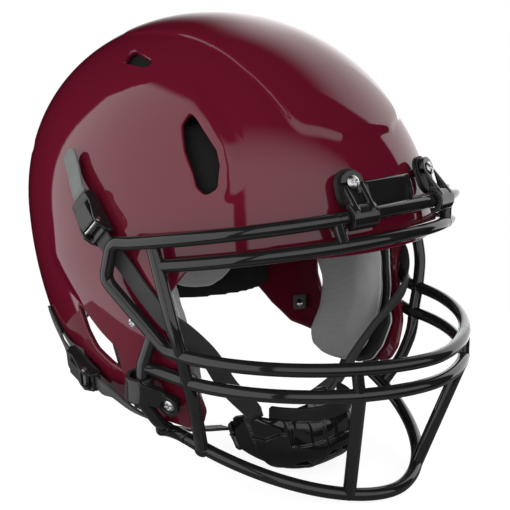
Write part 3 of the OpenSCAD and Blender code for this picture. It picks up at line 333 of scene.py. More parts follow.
def moulded_sheet(name, flat, quads, outer_of, inner_of, normal_of, depth_of, edge_r, wall, step):
    # A wall between two surfaces, cut along the zero line of depth_of, with its cut edges rounded off
    deep = depth_of(outer_of(flat))
    keep = quads[deep[quads].mean(1) > edge_r]
    sides = np.concatenate([keep[:, [0, 1]], keep[:, [1, 2]], keep[:, [2, 3]], keep[:, [3, 0]]])
    key = sides[:, 0] * len(flat) + sides[:, 1]
    twin = sides[:, 1] * len(flat) + sides[:, 0]
    rim = sides[~np.isin(key, twin)]
    rim_ids = np.unique(rim)
    uv = flat[rim_ids]
    e = 0.15 * step
    for _ in range(6):
        f = depth_of(outer_of(uv)) - edge_r
        gu, gv = slopes(lambda at: depth_of(outer_of(at)), uv, e)
        g2 = gu * gu + gv * gv
        g2 = np.maximum(g2, 0.02 * np.median(g2))
        move = np.stack([f * gu / g2, f * gv / g2], 1)
        long = np.hypot(move[:, 0], move[:, 1])
        uv = uv - move * np.minimum(1, 0.9 * step / np.maximum(long, 1e-9))[:, None]
    flat[rim_ids] = uv
    used = np.unique(keep)
    slot_of = np.full(len(flat), -1)
    slot_of[used] = np.arange(len(used))
    outside = outer_of(flat[used])
    inner = inner_of(flat[used])
    rim_slots = slot_of[rim_ids]
    rim_out = outside[rim_slots]
    normal = normal_of(flat[rim_ids])
    slope = np.stack([depth_of(rim_out + s) - depth_of(rim_out - s) for s in np.eye(3) * 0.4], 1)
    tangent = -(slope - normal * (slope * normal).sum(1)[:, None])
    tangent /= np.maximum(np.linalg.norm(tangent, axis=1), 1e-9)[:, None]
    inner[rim_slots] = rim_out - normal * wall * 1.02
    rings = [rim_out]
    for a in np.radians([22.5, 45, 67.5, 90]):
        rings.append(rim_out + tangent * edge_r * math.sin(a) - normal * edge_r * (1 - math.cos(a)))
    for a in np.radians([0, 22.5, 45, 67.5]):
        rings.append(inner[rim_slots] + tangent * edge_r * math.cos(a) + normal * edge_r * (1 - math.sin(a)))
    count = len(used)
    place_in_rim = np.full(len(flat), -1)
    place_in_rim[rim_ids] = np.arange(len(rim_ids))
    rows = [rim_slots] + [2 * count + k * len(rim_ids) + np.arange(len(rim_ids)) for k in range(len(rings) - 1)]
    rows.append(count + rim_slots)
    start, end = place_in_rim[rim[:, 0]], place_in_rim[rim[:, 1]]
    faces = [slot_of[keep], count + slot_of[keep][:, ::-1]]
    for near, far in zip(rows[:-1], rows[1:]):
        faces.append(np.stack([near[end], near[start], far[start], far[end]], 1))
    return mesh_piece(name, np.concatenate([outside, inner] + rings[1:]), np.concatenate(faces).tolist())


def grid_quads(index):
    return np.stack([index[:-1, :-1], index[:-1, 1:], index[1:, 1:], index[1:, :-1]], -1).reshape(-1, 4)


shell_edge_r = 1.1
half = 215
flat = np.array([(i, j) for j in range(-half, half + 1) for i in range(-half, half + 1)], float) / half
index = np.arange(len(flat)).reshape(2 * half + 1, 2 * half + 1)


def crease_lines(uv):
    # How far inside each raised panel a place is, and a large number where that panel has no step
    p = form_point(heading(uv))
    n = form_normal(p)
    n[:, 0] = np.abs(n[:, 0])
    top, side = p[:, :2], p[:, 1:]
    y, z = p[:, 1], p[:, 2]
    least = 0.3
    return [np.where((z > 0) & (n @ crown_shift > least), inside_distance(crown_edge, top), 99),
        np.where((n @ side_shift > least) & (z > 26) & (z < 100) & (y < 40), inside_distance(side_edge, side), 99),
        np.where((n @ jaw_shift > least) & (z < 8) & (y < 22), inside_distance(jaw_edge, side), 99)]


# The grid is drawn to the panels' edges, so that each step runs clean along its line
cell = 1 / half
pinned = np.zeros(len(flat), bool)
for k in range(3):
    here = crease_lines(flat)[k]
    near = np.where(np.abs(here) < 6)[0]
    uv, e = flat[near].copy(), 0.2 * cell
    for _ in range(3):
        f = crease_lines(uv)[k]
        gu, gv = slopes(lambda at: crease_lines(at)[k], uv, e)
        g2 = np.maximum(gu * gu + gv * gv, 1e3)
        move = np.stack([f * gu / g2, f * gv / g2], 1)
        uv = uv - np.where(np.abs(move).max(1)[:, None] < cell, move, 0)
    moved = np.abs(uv - flat[near]).max(1)
    take = (moved < 0.5 * cell) & (np.abs(crease_lines(uv)[k]) < 0.05) & ~pinned[near]
    flat[near[take]] = uv[take]
    pinned[near[take]] = True
band = pinned.reshape(index.shape).copy()
for _ in range(3):
    wide = band.copy()
    wide[1:] |= band[:-1]
    wide[:-1] |= band[1:]
    wide[:, 1:] |= band[:, :-1]
    wide[:, :-1] |= band[:, 1:]
    band = wide
band[[0, -1]] = False
band[:, [0, -1]] = False
loose = np.where(band.ravel() & ~pinned)[0]
row = 2 * half + 1
for _ in range(6):
    flat[loose] = (flat[loose - 1] + flat[loose + 1] + flat[loose - row] + flat[loose + row]) / 4
quads = grid_quads(index)
reach = np.hypot(flat[:, 0], flat[:, 1])
quads = quads[(reach[quads] < 1.02).all(1)]
shell_piece = moulded_sheet("moulded_shell", flat, quads, lambda uv: shell_outside(heading(uv)),
    lambda uv: form_point(heading(uv), -shell_wall), lambda uv: form_normal(form_point(heading(uv))),
    shell_inside, shell_edge_r, shell_wall, cell)
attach(shell_piece, "helmet")
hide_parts("shell")


def noise_on(tree, scale, detail):
    place = added(tree, "TexCoord", {}).outputs["Object"]
    return added(tree, "TexNoise", {"Vector": place, "Scale": scale, "Detail": detail}).outputs["Fac"]


def tint_between(tree, shader, amount, shade, light):
    mix = added(tree, "Mix", {"Factor": amount, "A": (*shade, 1), "B": (*light, 1)}, data_type="RGBA")
    tree.links.new(mix.outputs["Result"], shader.inputs["Base Color"])


def bumped(tree, shader, height, strength, distance):
    relief = added(tree, "Bump", {"Height": height, "Strength": strength, "Distance": distance})
    tree.links.new(relief.outputs["Normal"], shader.inputs["Normal"])


shell_look, tree, paint = begun_look("maroon_gloss_plastic", {"Roughness": 0.045})
tint_between(tree, paint, noise_on(tree, 9, 3), (0.106, 0.0056, 0.0160), (0.120, 0.0070, 0.0190))
bumped(tree, paint, noise_on(tree, 260, 2), 0.05, 0.0002)
shell_piece.data.materials.append(shell_look)

# Face guard: round steel wire under a thick black coating, bent to shape and welded.
# One closed ring makes the brow bar, the side loops and the upper mouth bar; the rest is welded to it.
wire_r = 4.1


def unit(v):
    return v / np.linalg.norm(v)


def bent(points, radii):
    line = [np.array(points[0], float)]
    for i in range(1, len(points) - 1):
        a, v, b = (np.array(points[k], float) for k in (i - 1, i, i + 1))
        p, q = unit(a - v), unit(b - v)
        opening = math.acos(max(-1, min(1, float(p @ q)))) / 2
        centre = v + unit(p + q) * (radii[i - 1] / math.sin(opening))
        s = v + p * (radii[i - 1] / math.tan(opening)) - centre
        e = v + q * (radii[i - 1] / math.tan(opening)) - centre
        turn = math.pi - 2 * opening
        steps = max(3, math.ceil(turn / math.radians(5)))
        for t in np.linspace(0, 1, steps + 1):
            line.append(centre + (s * math.sin(turn * (1 - t)) + e * math.sin(turn * t)) / math.sin(turn))
    return line + [np.array(points[-1], float)]


def bar_point(b, a):
    s, c = math.sin(math.radians(a)), math.cos(math.radians(a))
    y = b[1] + (b[2] - b[1]) * math.copysign(abs(s) ** (2 / b[5]), s)
    return np.array([-b[0] * math.copysign(abs(c) ** (2 / b[5]), c), y, b[3] + b[4] * (y - b[2])])


def bar_path(b, start, steps):
    return [bar_point(b, start + (180 - 2 * start) * i / steps) for i in range(steps + 1)]


def mirror_x(path):
    return [p * (-1, 1, 1) for p in reversed(path)]


def between(t, start, end, a, b):
    return (end - t) / (end - start) * a + (t - start) / (end - start) * b


def evened(path, gap, closed=False):
    # A smooth curve through the bends, with points a few millimetres apart
    pts = [p for i, p in enumerate(path) if i == 0 or np.linalg.norm(p - path[i - 1]) > 0.2]
    n = len(pts)
    line = []
    for i in range(n if closed else n - 1):
        a, b, c, d = (pts[(i + k) % n] if closed else pts[min(max(i + k, 0), n - 1)] for k in (-1, 0, 1, 2))
        span = np.linalg.norm(c - b)
        t0 = 0
        t1 = max(np.linalg.norm(b - a), 1e-3) ** 0.5
        t2 = t1 + max(span, 1e-3) ** 0.5
        t3 = t2 + max(np.linalg.norm(d - c), 1e-3) ** 0.5
        for t in np.linspace(t1, t2, max(1, round(span / gap)), endpoint=False):
            a1, a2, a3 = between(t, t0, t1, a, b), between(t, t1, t2, b, c), between(t, t2, t3, c, d)
            line.append(between(t, t1, t2, between(t, t0, t2, a1, a2), between(t, t1, t3, a2, a3)))
    return line if closed else line + [pts[-1]]


def ring_quads(rings, around):
    return [(i * around + j, i * around + (j + 1) % around, (i + 1) * around + (j + 1) % around, (i + 1) * around + j)
        for i in range(rings - 1) for j in range(around)]


def end_caps(rings, around):
    return [tuple(range(around))[::-1], tuple(range((rings - 1) * around, rings * around))]


def wire_mesh(path, r, closed=False, around=20):
    line = np.array(evened(path, 2.5, closed))
    n = len(line)
    run = np.array([unit(line[(i + 1) % n] - line[i - 1]) if closed or 0 < i < n - 1 else
        unit(line[min(i + 1, n - 1)] - line[max(i - 1, 0)]) for i in range(n)])
    up = np.array([0.1, 0.2, 1.0])
    pts, faces = [], ring_quads(n, around)
    for i in range(n):
        up = unit(up - run[i] * (up @ run[i]))
        across = np.cross(run[i], up)
        for j in range(around):
            a = 2 * math.pi * j / around
            pts.append(line[i] + r * (math.cos(a) * up + math.sin(a) * across))
    if closed:
        last = (n - 1) * around
        shift = int(np.argmin([np.linalg.norm(pts[last] - pts[k]) for k in range(around)]))
        for j in range(around):
            k = (j + 1) % around
            faces.append((last + j, last + k, (k + shift) % around, (j + shift) % around))
    else:
        faces += end_caps(n, around)
    return pts, faces


def joined(parts):
    pts, faces = [], []
    for p, f in parts:
        base = len(pts)
        pts += list(p)
        faces += [tuple(i + base for i in q) for q in f]
    return pts, faces


def flipped_side(part):
    pts, faces = part
    return [np.array(p) * (-1, 1, 1) for p in pts], [q[::-1] for q in faces]


brow_bar = (127.5, -10, -144, 26.4, -0.18, 2.39)
second_bar = (121.4, -25, -148.2, 11.1, -0.17, 2.11)
upper_mouth_bar = (112.5, -66, -172, -60, 0.03, 1.72)
lower_mouth_bar = (107.5, -66, -172, -75.5, 0.01, 1.8)
chin_bar = (92.6, -23, -145, -152.5, 0.33, 1.83)
right_loop = bent([bar_point(brow_bar, 12), bar_point(brow_bar, 10), (-128.5, -29.5, 7), (-128, -21.5, -17),
    (-114, -59.5, -56), bar_point(upper_mouth_bar, 8), bar_point(upper_mouth_bar, 12)], [60, 8, 9, 12, 30])
ring_path = bar_path(upper_mouth_bar, 16, 40) + mirror_x(right_loop) + [
    bar_point(brow_bar, 12 + 156 * i / 42) for i in range(41, 0, -1)] + right_loop
right_side_wire = bent([(-117, -51, -48), (-118.5, -43.5, -67), (-118.5, -41, -90), (-108.7, -43.7, -105.1),
    (-97.3, -39.4, -115.2), bar_point(chin_bar, 8), bar_point(chin_bar, 13)], [20, 10, 12, 14, 12])
chin_path = right_side_wire + bar_path(chin_bar, 18, 40) + mirror_x(right_side_wire)
upright_path = bent([(-119.5, -55, 9.5), (-117.2, -69.2, -37), (-112, -71.5, -57), (-108, -71.5, -73),
    (-105, -73.5, -86.7), (-98, -69.5, -106.5), (-88.5, -62, -124)], [60, 60, 60, 50, 60])
lower_tail = [bar_point(lower_mouth_bar, 0) + (-5, 14, 3), np.array([-118, -43.5, -68.5])]
lower_path = lower_tail[::-1] + bar_path(lower_mouth_bar, 4, 40) + [p * (-1, 1, 1) for p in lower_tail]


def weld_bead(p, toward, r):
    # A short swollen collar where one wire is welded to another
    pts = []
    t = unit(np.array(toward, float))
    u = unit(np.cross(t, (0.3, 0.2, 1)))
    v = np.cross(t, u)
    for i in range(9):
        a = math.pi * i / 8
        for j in range(16):
            b = 2 * math.pi * j / 16
            pts.append(np.array(p) + t * r * 1.1 * math.cos(a) + (u * math.cos(b) + v * math.sin(b)) * max(
                0.02, r * math.sin(a) ** 0.8))
    return pts, ring_quads(9, 16) + end_caps(9, 16)


half_guard = [wire_mesh(upright_path, wire_r)]
stub = [bar_point(brow_bar, 70), bar_point(second_bar, 68), bar_point(upper_mouth_bar, 59),
    bar_point(lower_mouth_bar, 59.5), bar_point(chin_bar, 67)]
half_guard += [wire_mesh(stub[0:2], wire_r * 0.9), wire_mesh(stub[2:4], wire_r * 0.9), wire_mesh(stub[3:5], wire_r)]
for p, toward in (((-119.5, -55, 9.5), (0.1, 0.9, 0.1)), ((-111.5, -70.5, -57.5), (0.3, -0.9, 0)),
        ((-107.8, -71, -74), (0.3, -0.9, 0)), ((-88.5, -62, -125.5), (0.2, -0.9, -0.3)),
        ((-117, -51, -48), (0.5, -0.7, -0.6)), (stub[0], (1, 0, 0)), (stub[1], (1, 0, 0)), (stub[2], (1, -0.4, 0)),
        (stub[3], (1, -0.4, 0)), (stub[4], (1, -0.5, -0.2))):
    half_guard.append(weld_bead(p, toward, wire_r + 0.15))
half_guard = joined(half_guard)
pts, faces = joined([wire_mesh(ring_path, wire_r, True), wire_mesh(bar_path(second_bar, 14, 40), wire_r),
    wire_mesh(lower_path, wire_r), wire_mesh(chin_path, wire_r), half_guard, flipped_side(half_guard)])
guard_piece = mesh_piece("coated_wires", pts, faces)
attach(guard_piece, "helmet")
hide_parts("face_guard")

coating, tree, skin = begun_look("black_dip_coating", {"Roughness": 0.08})
tint_between(tree, skin, noise_on(tree, 60, 4), (0.0085, 0.0085, 0.009), (0.0150, 0.0150, 0.0155))
bumped(tree, skin, noise_on(tree, 420, 2), 0.06, 0.0002)
guard_piece.data.materials.append(coating)

# Liner: firm black pads across the back and both sides, and grey cushions on the crown, brow and back.
# Each is knitted fabric over foam, held to the shell's inside; the side pads and thin sheets behind the top and rear
# vents are near-black, painted shade for the dark inside of the vents.
def pad_rings(place, loop, rows):
    # place turns a share of the outline and a share of the thickness into a point of the form
    return [np.array([place(q, share, rise) for q in loop]) for share, rise in rows]


pad_side_view = [(0.02, 0.02), (0.5, 0.02), (0.9, 0.02), (0.965, 0.1), (0.985, 0.3), (0.975, 0.52), (0.945, 0.72),
    (0.885, 0.87), (0.78, 0.95), (0.55, 1.0), (0.28, 1.02), (0.02, 1.03)]


def closed_skin(name, rings):
    faces = ring_quads(len(rings), len(rings[0])) + end_caps(len(rings), len(rings[0]))
    piece = mesh_piece(name, np.concatenate(rings), faces)
    tidy = bmesh.new()
    tidy.from_mesh(piece.data)
    bmesh.ops.recalc_face_normals(tidy, faces=tidy.faces)
    tidy.to_mesh(piece.data)
    tidy.free()
    return piece


def liner_cushion(name, az, el, half_w, half_h, depth, thick, square_to, columns=72, tilt=0.0):
    # az and el aim the cushion's middle, and depth is how far below the form its outer side lies
    a, e = math.radians(az), math.radians(el)
    c = np.array([math.cos(a) * math.cos(e), math.sin(a) * math.cos(e), math.sin(e)])
    across = np.array([-math.sin(a), math.cos(a), 0])
    upward = np.array([-math.cos(a) * math.sin(e), -math.sin(a) * math.sin(e), math.cos(e)])
    reach = 1 / form_measure(c[None], -depth)[0]
    loop = [(math.copysign(abs(math.cos(t)) ** square_to, math.cos(t)) * half_w / reach,
        math.copysign(abs(math.sin(t)) ** square_to, math.sin(t)) * half_h / reach)
        for t in np.linspace(0, 2 * math.pi, columns, endpoint=False)]
    loop = [(x, y - tilt * x) for x, y in loop]

    def place(q, share, rise):
        return form_point((c + across * q[0] * share + upward * q[1] * share)[None], -depth - thick * rise)[0]

    return closed_skin(name, pad_rings(place, loop, pad_side_view)), [place(q, 1.0, 0.35) for q in loop]


def settled(piece):
    # The shape that the modifiers give becomes the piece's own mesh
    bpy.context.view_layer.update()
    shape = bpy.data.meshes.new_from_object(piece.evaluated_get(bpy.context.evaluated_depsgraph_get()))
    piece.modifiers.clear()
    piece.data = shape
    shape.polygons.foreach_set("use_smooth", [True] * len(shape.polygons))


swell_frames = 20


def stuffed(pads, cap, grain=0.005):
    # Foam pressure swells the closed cover, and no point of it moves further than cap, in metres
    for pad in pads:
        voxels = pad.modifiers.new("cut_cover", "REMESH")
        voxels.mode = "VOXEL"
        voxels.voxel_size = grain
        settled(pad)
        even = pad.modifiers.new("even_cover", "SMOOTH")
        even.factor = 0.5
        even.iterations = 3
        settled(pad)
    before = [np.array([v.co[:] for v in pad.data.vertices]) for pad in pads]
    for pad in pads:
        cover = pad.modifiers.new("foam_pressure", "CLOTH")
        cover.settings.use_pressure = True
        cover.settings.uniform_pressure_force = 4
        cover.settings.quality = 5
        cover.settings.effector_weights.gravity = 0
        cover.point_cache.frame_start = 1
        cover.point_cache.frame_end = swell_frames
    for moment in range(1, swell_frames + 1):
        bpy.context.scene.frame_set(moment)
    for pad, start in zip(pads, before):
        settled(pad)
        now = np.array([v.co[:] for v in pad.data.vertices])
        move = now - start
        far = np.linalg.norm(move, axis=1)
        now = start + move * np.minimum(1, cap / np.maximum(far, 1e-9))[:, None]
        pad.data.vertices.foreach_set("co", now.ravel())
    bpy.context.scene.frame_set(1)
    for pad in pads:
        finer = pad.modifiers.new("finer_cover", "SUBSURF")
        finer.levels = 1
        settled(pad)


def mirror_piece(piece, name):
    twin = bpy.data.objects.new(name, piece.data.copy())
    bpy.context.scene.collection.objects.link(twin)
    turn = bmesh.new()
    turn.from_mesh(twin.data)
    for v in turn.verts:
        v.co.x = -v.co.x
    bmesh.ops.reverse_faces(turn, faces=turn.faces)
    turn.to_mesh(twin.data)
    turn.free()
    return twin


def seam_cord(name, pad, line, r):
    # A thin sewn welt that lies on the cover all round the pad
    bpy.context.view_layer.update()
    on_cover = [np.array(pad.closest_point_on_mesh(((p + shell_centre) / 1000).tolist())[1][:]) * 1000 - shell_centre
        for p in line]
    return mesh_piece(name, *wire_mesh(on_cover, r, True, 8))


wave_scale = 0.314


def cloth_look(name, shade, light, pitch, bump, sheen):
    # Fine knit: two crossed waves of thread, with fuzz and slow patches of shade
    made, tree, cover = begun_look(name, {"Roughness": 0.82, "Specular IOR Level": 0.25, "Sheen Weight": sheen,
        "Sheen Roughness": 0.5})
    place = added(tree, "TexCoord", {}).outputs["Object"]
    waves = [added(tree, "TexWave", {"Vector": place, "Scale": wave_scale / pitch, "Distortion": 1.2,
        "Detail Scale": 3}, bands_direction=way).outputs["Fac"] for way in ("X", "Z")]
    threads = added(tree, "Math", {0: waves[0], 1: waves[1]}, operation="MULTIPLY").outputs[0]
    blend = added(tree, "Math", {0: threads, 1: 0.45, 2: noise_on(tree, 38, 6)}, operation="MULTIPLY_ADD").outputs[0]
    tint_between(tree, cover, blend, shade, light)
    bumped(tree, cover, blend, bump, pitch * 0.3)
    return made


grey_knit = cloth_look("grey_knit_cover", (0.340, 0.340, 0.345), (0.480, 0.480, 0.486), 0.0011, 0.5, 0.25)
black_knit = cloth_look("black_knit_cover", (0.006, 0.006, 0.007), (0.014, 0.014, 0.016), 0.0011, 0.5, 0.04)
# Near-black without sheen, darker than the black knit: painted shade for the dark seen through the vents
painted_shade_black_knit = cloth_look("painted_shade_black_knit_cover", (0.002, 0.002, 0.002), (0.005, 0.005, 0.005), 0.0011, 0.5,
    0.0)
welt_tape = cloth_look("pale_seam_tape", (0.520, 0.520, 0.525), (0.680, 0.680, 0.686), 0.0007, 0.4, 0.20)
welt_r = 0.8
pad_gap = 1.2
inside_face = shell_wall + pad_gap
liner_t = 6.0
crown_cushion, crown_line = liner_cushion("crown_cushion", -90, 84, 52, 62, inside_face, 17, 0.6)
brow_cushion, brow_line = liner_cushion("brow_cushion", -90, 34, 56, 19, inside_face, 14, 0.5)
side_cushion, side_line = liner_cushion("right_side_cushion", 203, 27, 62, 27, inside_face, 17, 0.5)
back_panel, _ = liner_cushion("right_back_panel", 117, -26.5, 68.5, 24, inside_face + 0.4, liner_t, 0.35, 120, 0.1)
back_cushion, back_pad_line = liner_cushion("right_back_cushion", 118.5, -24.5, 31, 24,
    inside_face + 1.1 + liner_t * 1.1, 14, 1.0)
cushion_cap, panel_cap = 0.0022, 0.001
stuffed([crown_cushion, brow_cushion, side_cushion, back_cushion], cushion_cap)
stuffed([back_panel], panel_cap, 0.002)
shade_sheet_t, shade_sheet_gap = 4, 0.3
# Thin near-black sheets behind the top and rear vents: painted shade for the dark inside of those vents
vent_shade_sheets = [liner_cushion(name, az, el, wide, high, shell_wall + shade_sheet_gap, shade_sheet_t, square_to)[0]
    for name, az, el, wide, high, square_to in (("right_top_vent_backing", 171, 56, 25, 20, 0.6),
        ("right_rear_vent_backing", 116, 18, 43, 15, 0.5))]


def with_twin(piece):
    # The piece and its mirror image on the left, or only the piece when it lies in the middle
    if "right" not in piece.name:
        return [piece]
    return [piece, mirror_piece(piece, piece.name.replace("right", "left"))]


for cushion, node, cover, slot in ((crown_cushion, "crown_pad", grey_knit, "grey_cushion"),
        (brow_cushion, "front_pad", grey_knit, "grey_cushion"),
        # The side pads take the near-black painted shade seen through the side vent
        (side_cushion, "side_pad_right", painted_shade_black_knit, "black_cushion"),
        (back_panel, "rear_liner", black_knit, "black_cushion"),
        (back_cushion, "rear_pad_right", grey_knit, "grey_cushion")):
    for pad in with_twin(cushion):
        pad.data.materials.clear()
        pad.data.materials.append(cover)
        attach(pad, "helmet")
        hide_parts(node if pad is cushion else node.replace("right", "left"))
for shade_sheet in vent_shade_sheets:
    for piece in with_twin(shade_sheet):
        piece.data.materials.append(painted_shade_black_knit)
        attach(piece, "helmet")
for name, pad, line in (("crown_seam", crown_cushion, crown_line), ("brow_seam", brow_cushion, brow_line),
        ("right_side_seam", side_cushion, side_line), ("right_back_seam", back_cushion, back_pad_line)):
    for piece in with_twin(seam_cord(name, pad, line, welt_r)):
        piece.data.materials.clear()
        # The side seam takes the same near-black painted shade as its pad
        piece.data.materials.append(painted_shade_black_knit if name == "right_side_seam" else welt_tape)
        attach(piece, "helmet")

# Jaw pads: tall grey cushions inside the jaw flaps, each on a hard black carrier that a flank screw holds.
# The carrier shows as a black line round the pad's front, between two pale seams.
jaw_outline = rounded_outline([(14, -16), (16, -30), (15, -40), (9, -51), (3, -64), (2, -84), (4, -100), (-2, -111),
    (-16, -114), (-32, -114), (-45, -109), (-52, -98), (-55, -84), (-57, -70), (-56, -57), (-52, -44), (-49, -30),
    (-46, -18), (-24, -9), (4, -9)], 9)
jaw_line = np.array(evened([np.array([*q, 0.0]) for q in jaw_outline], 3.2, True))[:, :2]
carrier_line = jaw_line - np.stack([8 * stepped((-10 - jaw_line[:, 0]) / 8) * stepped((-70 - jaw_line[:, 1]) / 10),
    0 * jaw_line[:, 1]], 1)
carrier_t = 4.0
jaw_pad_t = 18.0
jaw_mid = (jaw_line.max(0) + jaw_line.min(0)) / 2
carrier_depth = inside_face - 0.2


def flank_point(y, z, proud=0.0):
    return np.array([-form_x(y, z, proud), y, z])


def flank_piece(name, line, depth, thick, rows):
    def place(q, share, rise):
        return flank_point(*(jaw_mid + (q - jaw_mid) * share), -depth - thick * rise)

    return closed_skin(name, pad_rings(place, line, rows)), [place(q, 1.0, 0.3) for q in line]


jaw_pad, jaw_seam_line = flank_piece("right_jaw_cushion", jaw_line, carrier_depth + carrier_t * 1.07, jaw_pad_t,
    pad_side_view)
jaw_carrier, carrier_seam_line = flank_piece("right_jaw_carrier", carrier_line, carrier_depth, carrier_t,
    [(0.02, 0.02), (0.5, 0.02), (0.95, 0.02), (0.985, 0.1), (1.0, 0.3), (1.0, 0.7), (0.985, 0.93), (0.94, 1.0),
        (0.5, 1.0), (0.02, 1.0)])
stuffed([jaw_pad], cushion_cap, 0.0045)


def plastic_look(name, shade, light, roughness, grain, bump, specular=0.5):
    # Moulded plastic: slow change of depth in the black, fine texture from the tool, dull rubbed patches
    made, tree, cast = begun_look(name, {"Specular IOR Level": specular})
    patches = noise_on(tree, 70, 4)
    tint_between(tree, cast, patches, shade, light)
    rubbed = added(tree, "MapRange", {"Value": patches, "To Min": roughness * 0.85, "To Max": roughness * 1.15})
    tree.links.new(rubbed.outputs["Result"], cast.inputs["Roughness"])
    bumped(tree, cast, noise_on(tree, grain, 2), bump, 0.0002)
    return made


carrier_plastic = plastic_look("matte_carrier_plastic", (0.010, 0.010, 0.011), (0.018, 0.018, 0.019), 0.5, 1800,
    0.3)
jaw_seam = seam_cord("right_jaw_seam", jaw_pad, jaw_seam_line, welt_r)
carrier_seam = mesh_piece("right_carrier_seam", *wire_mesh(carrier_seam_line, 0.7, True, 8))
for piece, node, cover, slot in ((jaw_pad, "jaw_pad_right", grey_knit, "grey_cushion"),
        (jaw_carrier, "jaw_carrier_right", carrier_plastic, "carrier_plastic"),
        (jaw_seam, None, welt_tape, "grey_cushion"), (carrier_seam, None, welt_tape, "grey_cushion")):
    for side in with_twin(piece):
        side.data.materials.clear()
        side.data.materials.append(cover)
        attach(side, "helmet")
        if node:
            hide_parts(node if side is piece else node.replace("right", "left"))

# Bumper plate: a bare black plate across the forehead, bent to the shell, with softly rounded edges.
# Two screws hold it from inside, so its face stays plain.
bumper_z = 35.0
bumper_half_w, bumper_half_h, bumper_t, bumper_gap = 22.4, 7.5, 3.4, 0.35
bumper_line = rounded_outline([(-bumper_half_w, -bumper_half_h), (bumper_half_w, -bumper_half_h),
    (bumper_half_w, bumper_half_h), (-bumper_half_w, bumper_half_h)], 3.2)
bumper_line = np.array(evened([np.array([*q, 0.0]) for q in bumper_line], 1.6, True))[:, :2]


def bumper_place(q, share, rise):
    x, z = q[0] * share, bumper_z + q[1] * share
    return np.array([x, form_y(x, z, bumper_gap + (bumper_t - bumper_gap) * rise), z])


bumper = closed_skin("brow_bumper_plate", pad_rings(bumper_place, bumper_line, [(0.02, 0), (0.4, 0), (0.8, 0),
    (0.97, 0), (0.995, 0.12), (1.0, 0.3), (1.0, 0.6), (0.993, 0.82), (0.975, 0.94), (0.95, 1.0), (0.8, 1.0),
    (0.6, 1.0), (0.4, 1.0), (0.2, 1.0), (0.02, 1.0)]))
gloss_black = plastic_look("black_gloss_plastic", (0.0085, 0.0085, 0.009), (0.0150, 0.0150, 0.0155), 0.11, 900,
    0.06)
bumper.data.materials.append(gloss_black)
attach(bumper, "helmet")
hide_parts("front_bumper")

# Moulded hardware: the clips and their spacers, and the strap buckles with their levers.
# Each keeps its solid's shape, with the edges rubbed round as a mould leaves them.
rubber = plastic_look("spacer_rubber", (0.007, 0.007, 0.007), (0.014, 0.014, 0.014), 0.55, 1500, 0.35, 0.3)


def softened(name, node, rounds, body, cover):
    # The solid's own shape, on a fine even grid, with its edges rubbed round
    copy = bmesh.new()
    copy.from_mesh(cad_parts[node].data)
    bmesh.ops.remove_doubles(copy, verts=copy.verts, dist=2e-5)
    shape = bpy.data.meshes.new(name)
    copy.to_mesh(shape)
    copy.free()
    piece = bpy.data.objects.new(name, shape)
    bpy.context.scene.collection.objects.link(piece)
    voxels = piece.modifiers.new("fine_grid", "REMESH")
    voxels.mode = "VOXEL"
    voxels.voxel_size = 0.0004
    rub = piece.modifiers.new("rubbed_edges", "SMOOTH")
    rub.factor = 0.5
    rub.iterations = rounds
    settled(piece)
    piece.data.materials.append(cover)
    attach(piece, body)
    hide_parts(node)
    return piece


for side in ("right", "left"):
    softened(side + "_top_clip_moulding", "top_clip_" + side, 4, "helmet", gloss_black)
    softened(side + "_side_clip_moulding", "side_clip_" + side, 4, "helmet", gloss_black)
    for row in ("upper", "lower"):
        softened(f"{side}_{row}_buckle_frame", f"{row}_buckle_{side}", 3, "helmet", gloss_black)
        softened(f"{side}_{row}_cam_lever", f"{row}_lever_{side}", 3, f"{row}_{side}_lever", gloss_black)
softened("top_clip_rubber", "top_clip_spacers", 2, "helmet", rubber)
softened("side_clip_rubber", "side_clip_spacers", 2, "helmet", rubber)

# Screws: silver domed heads with a cross recess, and the steel that holds them behind the wall.
# The clips' screws sit in counterbores; the flank screws hold the jaw carriers.
steel, tree, plate = begun_look("plated_screw_steel", {"Metallic": 1})
brushed = noise_on(tree, 900, 5)
tint_between(tree, plate, brushed, (0.52, 0.52, 0.53), (0.68, 0.68, 0.69))
polish = added(tree, "MapRange", {"Value": brushed, "To Min": 0.20, "To Max": 0.34})
tree.links.new(polish.outputs["Result"], plate.inputs["Roughness"])
bumped(tree, plate, brushed, 0.15, 0.0001)


def normal_at(p):
    return form_normal(np.array([p], float))[0]


def seat(p, n, along):
    # Local frame on the shell: X along the run, Z out of the surface
    side = unit(np.cross(n, along))
    frame_axes = np.array([np.cross(side, n), side, n])
    return lambda pts: np.array(p) + np.asarray(pts) @ frame_axes


clip_base = np.array([-33.0, form_y(-33, 40.5), 40.5])
side_base = flank_point(-52, -92, 2.4)
flank_base = flank_point(-31.2, -44.4, 2.16)
upper_base = flank_point(-5, 17, 1.92)
lower_base = flank_point(29, -88.5, 1.2)
side_normal = normal_at(side_base)
clip_seat = seat(clip_base, normal_at(clip_base), (0, 0, -1))
side_seat = seat(side_base, side_normal, unit(np.cross(np.cross(side_normal, (0, 1, 0.15)), side_normal)))
flank_seat = seat(flank_base, normal_at(flank_base), (0, 0, -1))
upper_run, lower_run = (0, -0.70, -0.71), (0, -0.90, -0.42)
upper_seat = seat(upper_base, normal_at(upper_base), upper_run)
lower_seat = seat(lower_base, normal_at(lower_base), lower_run)


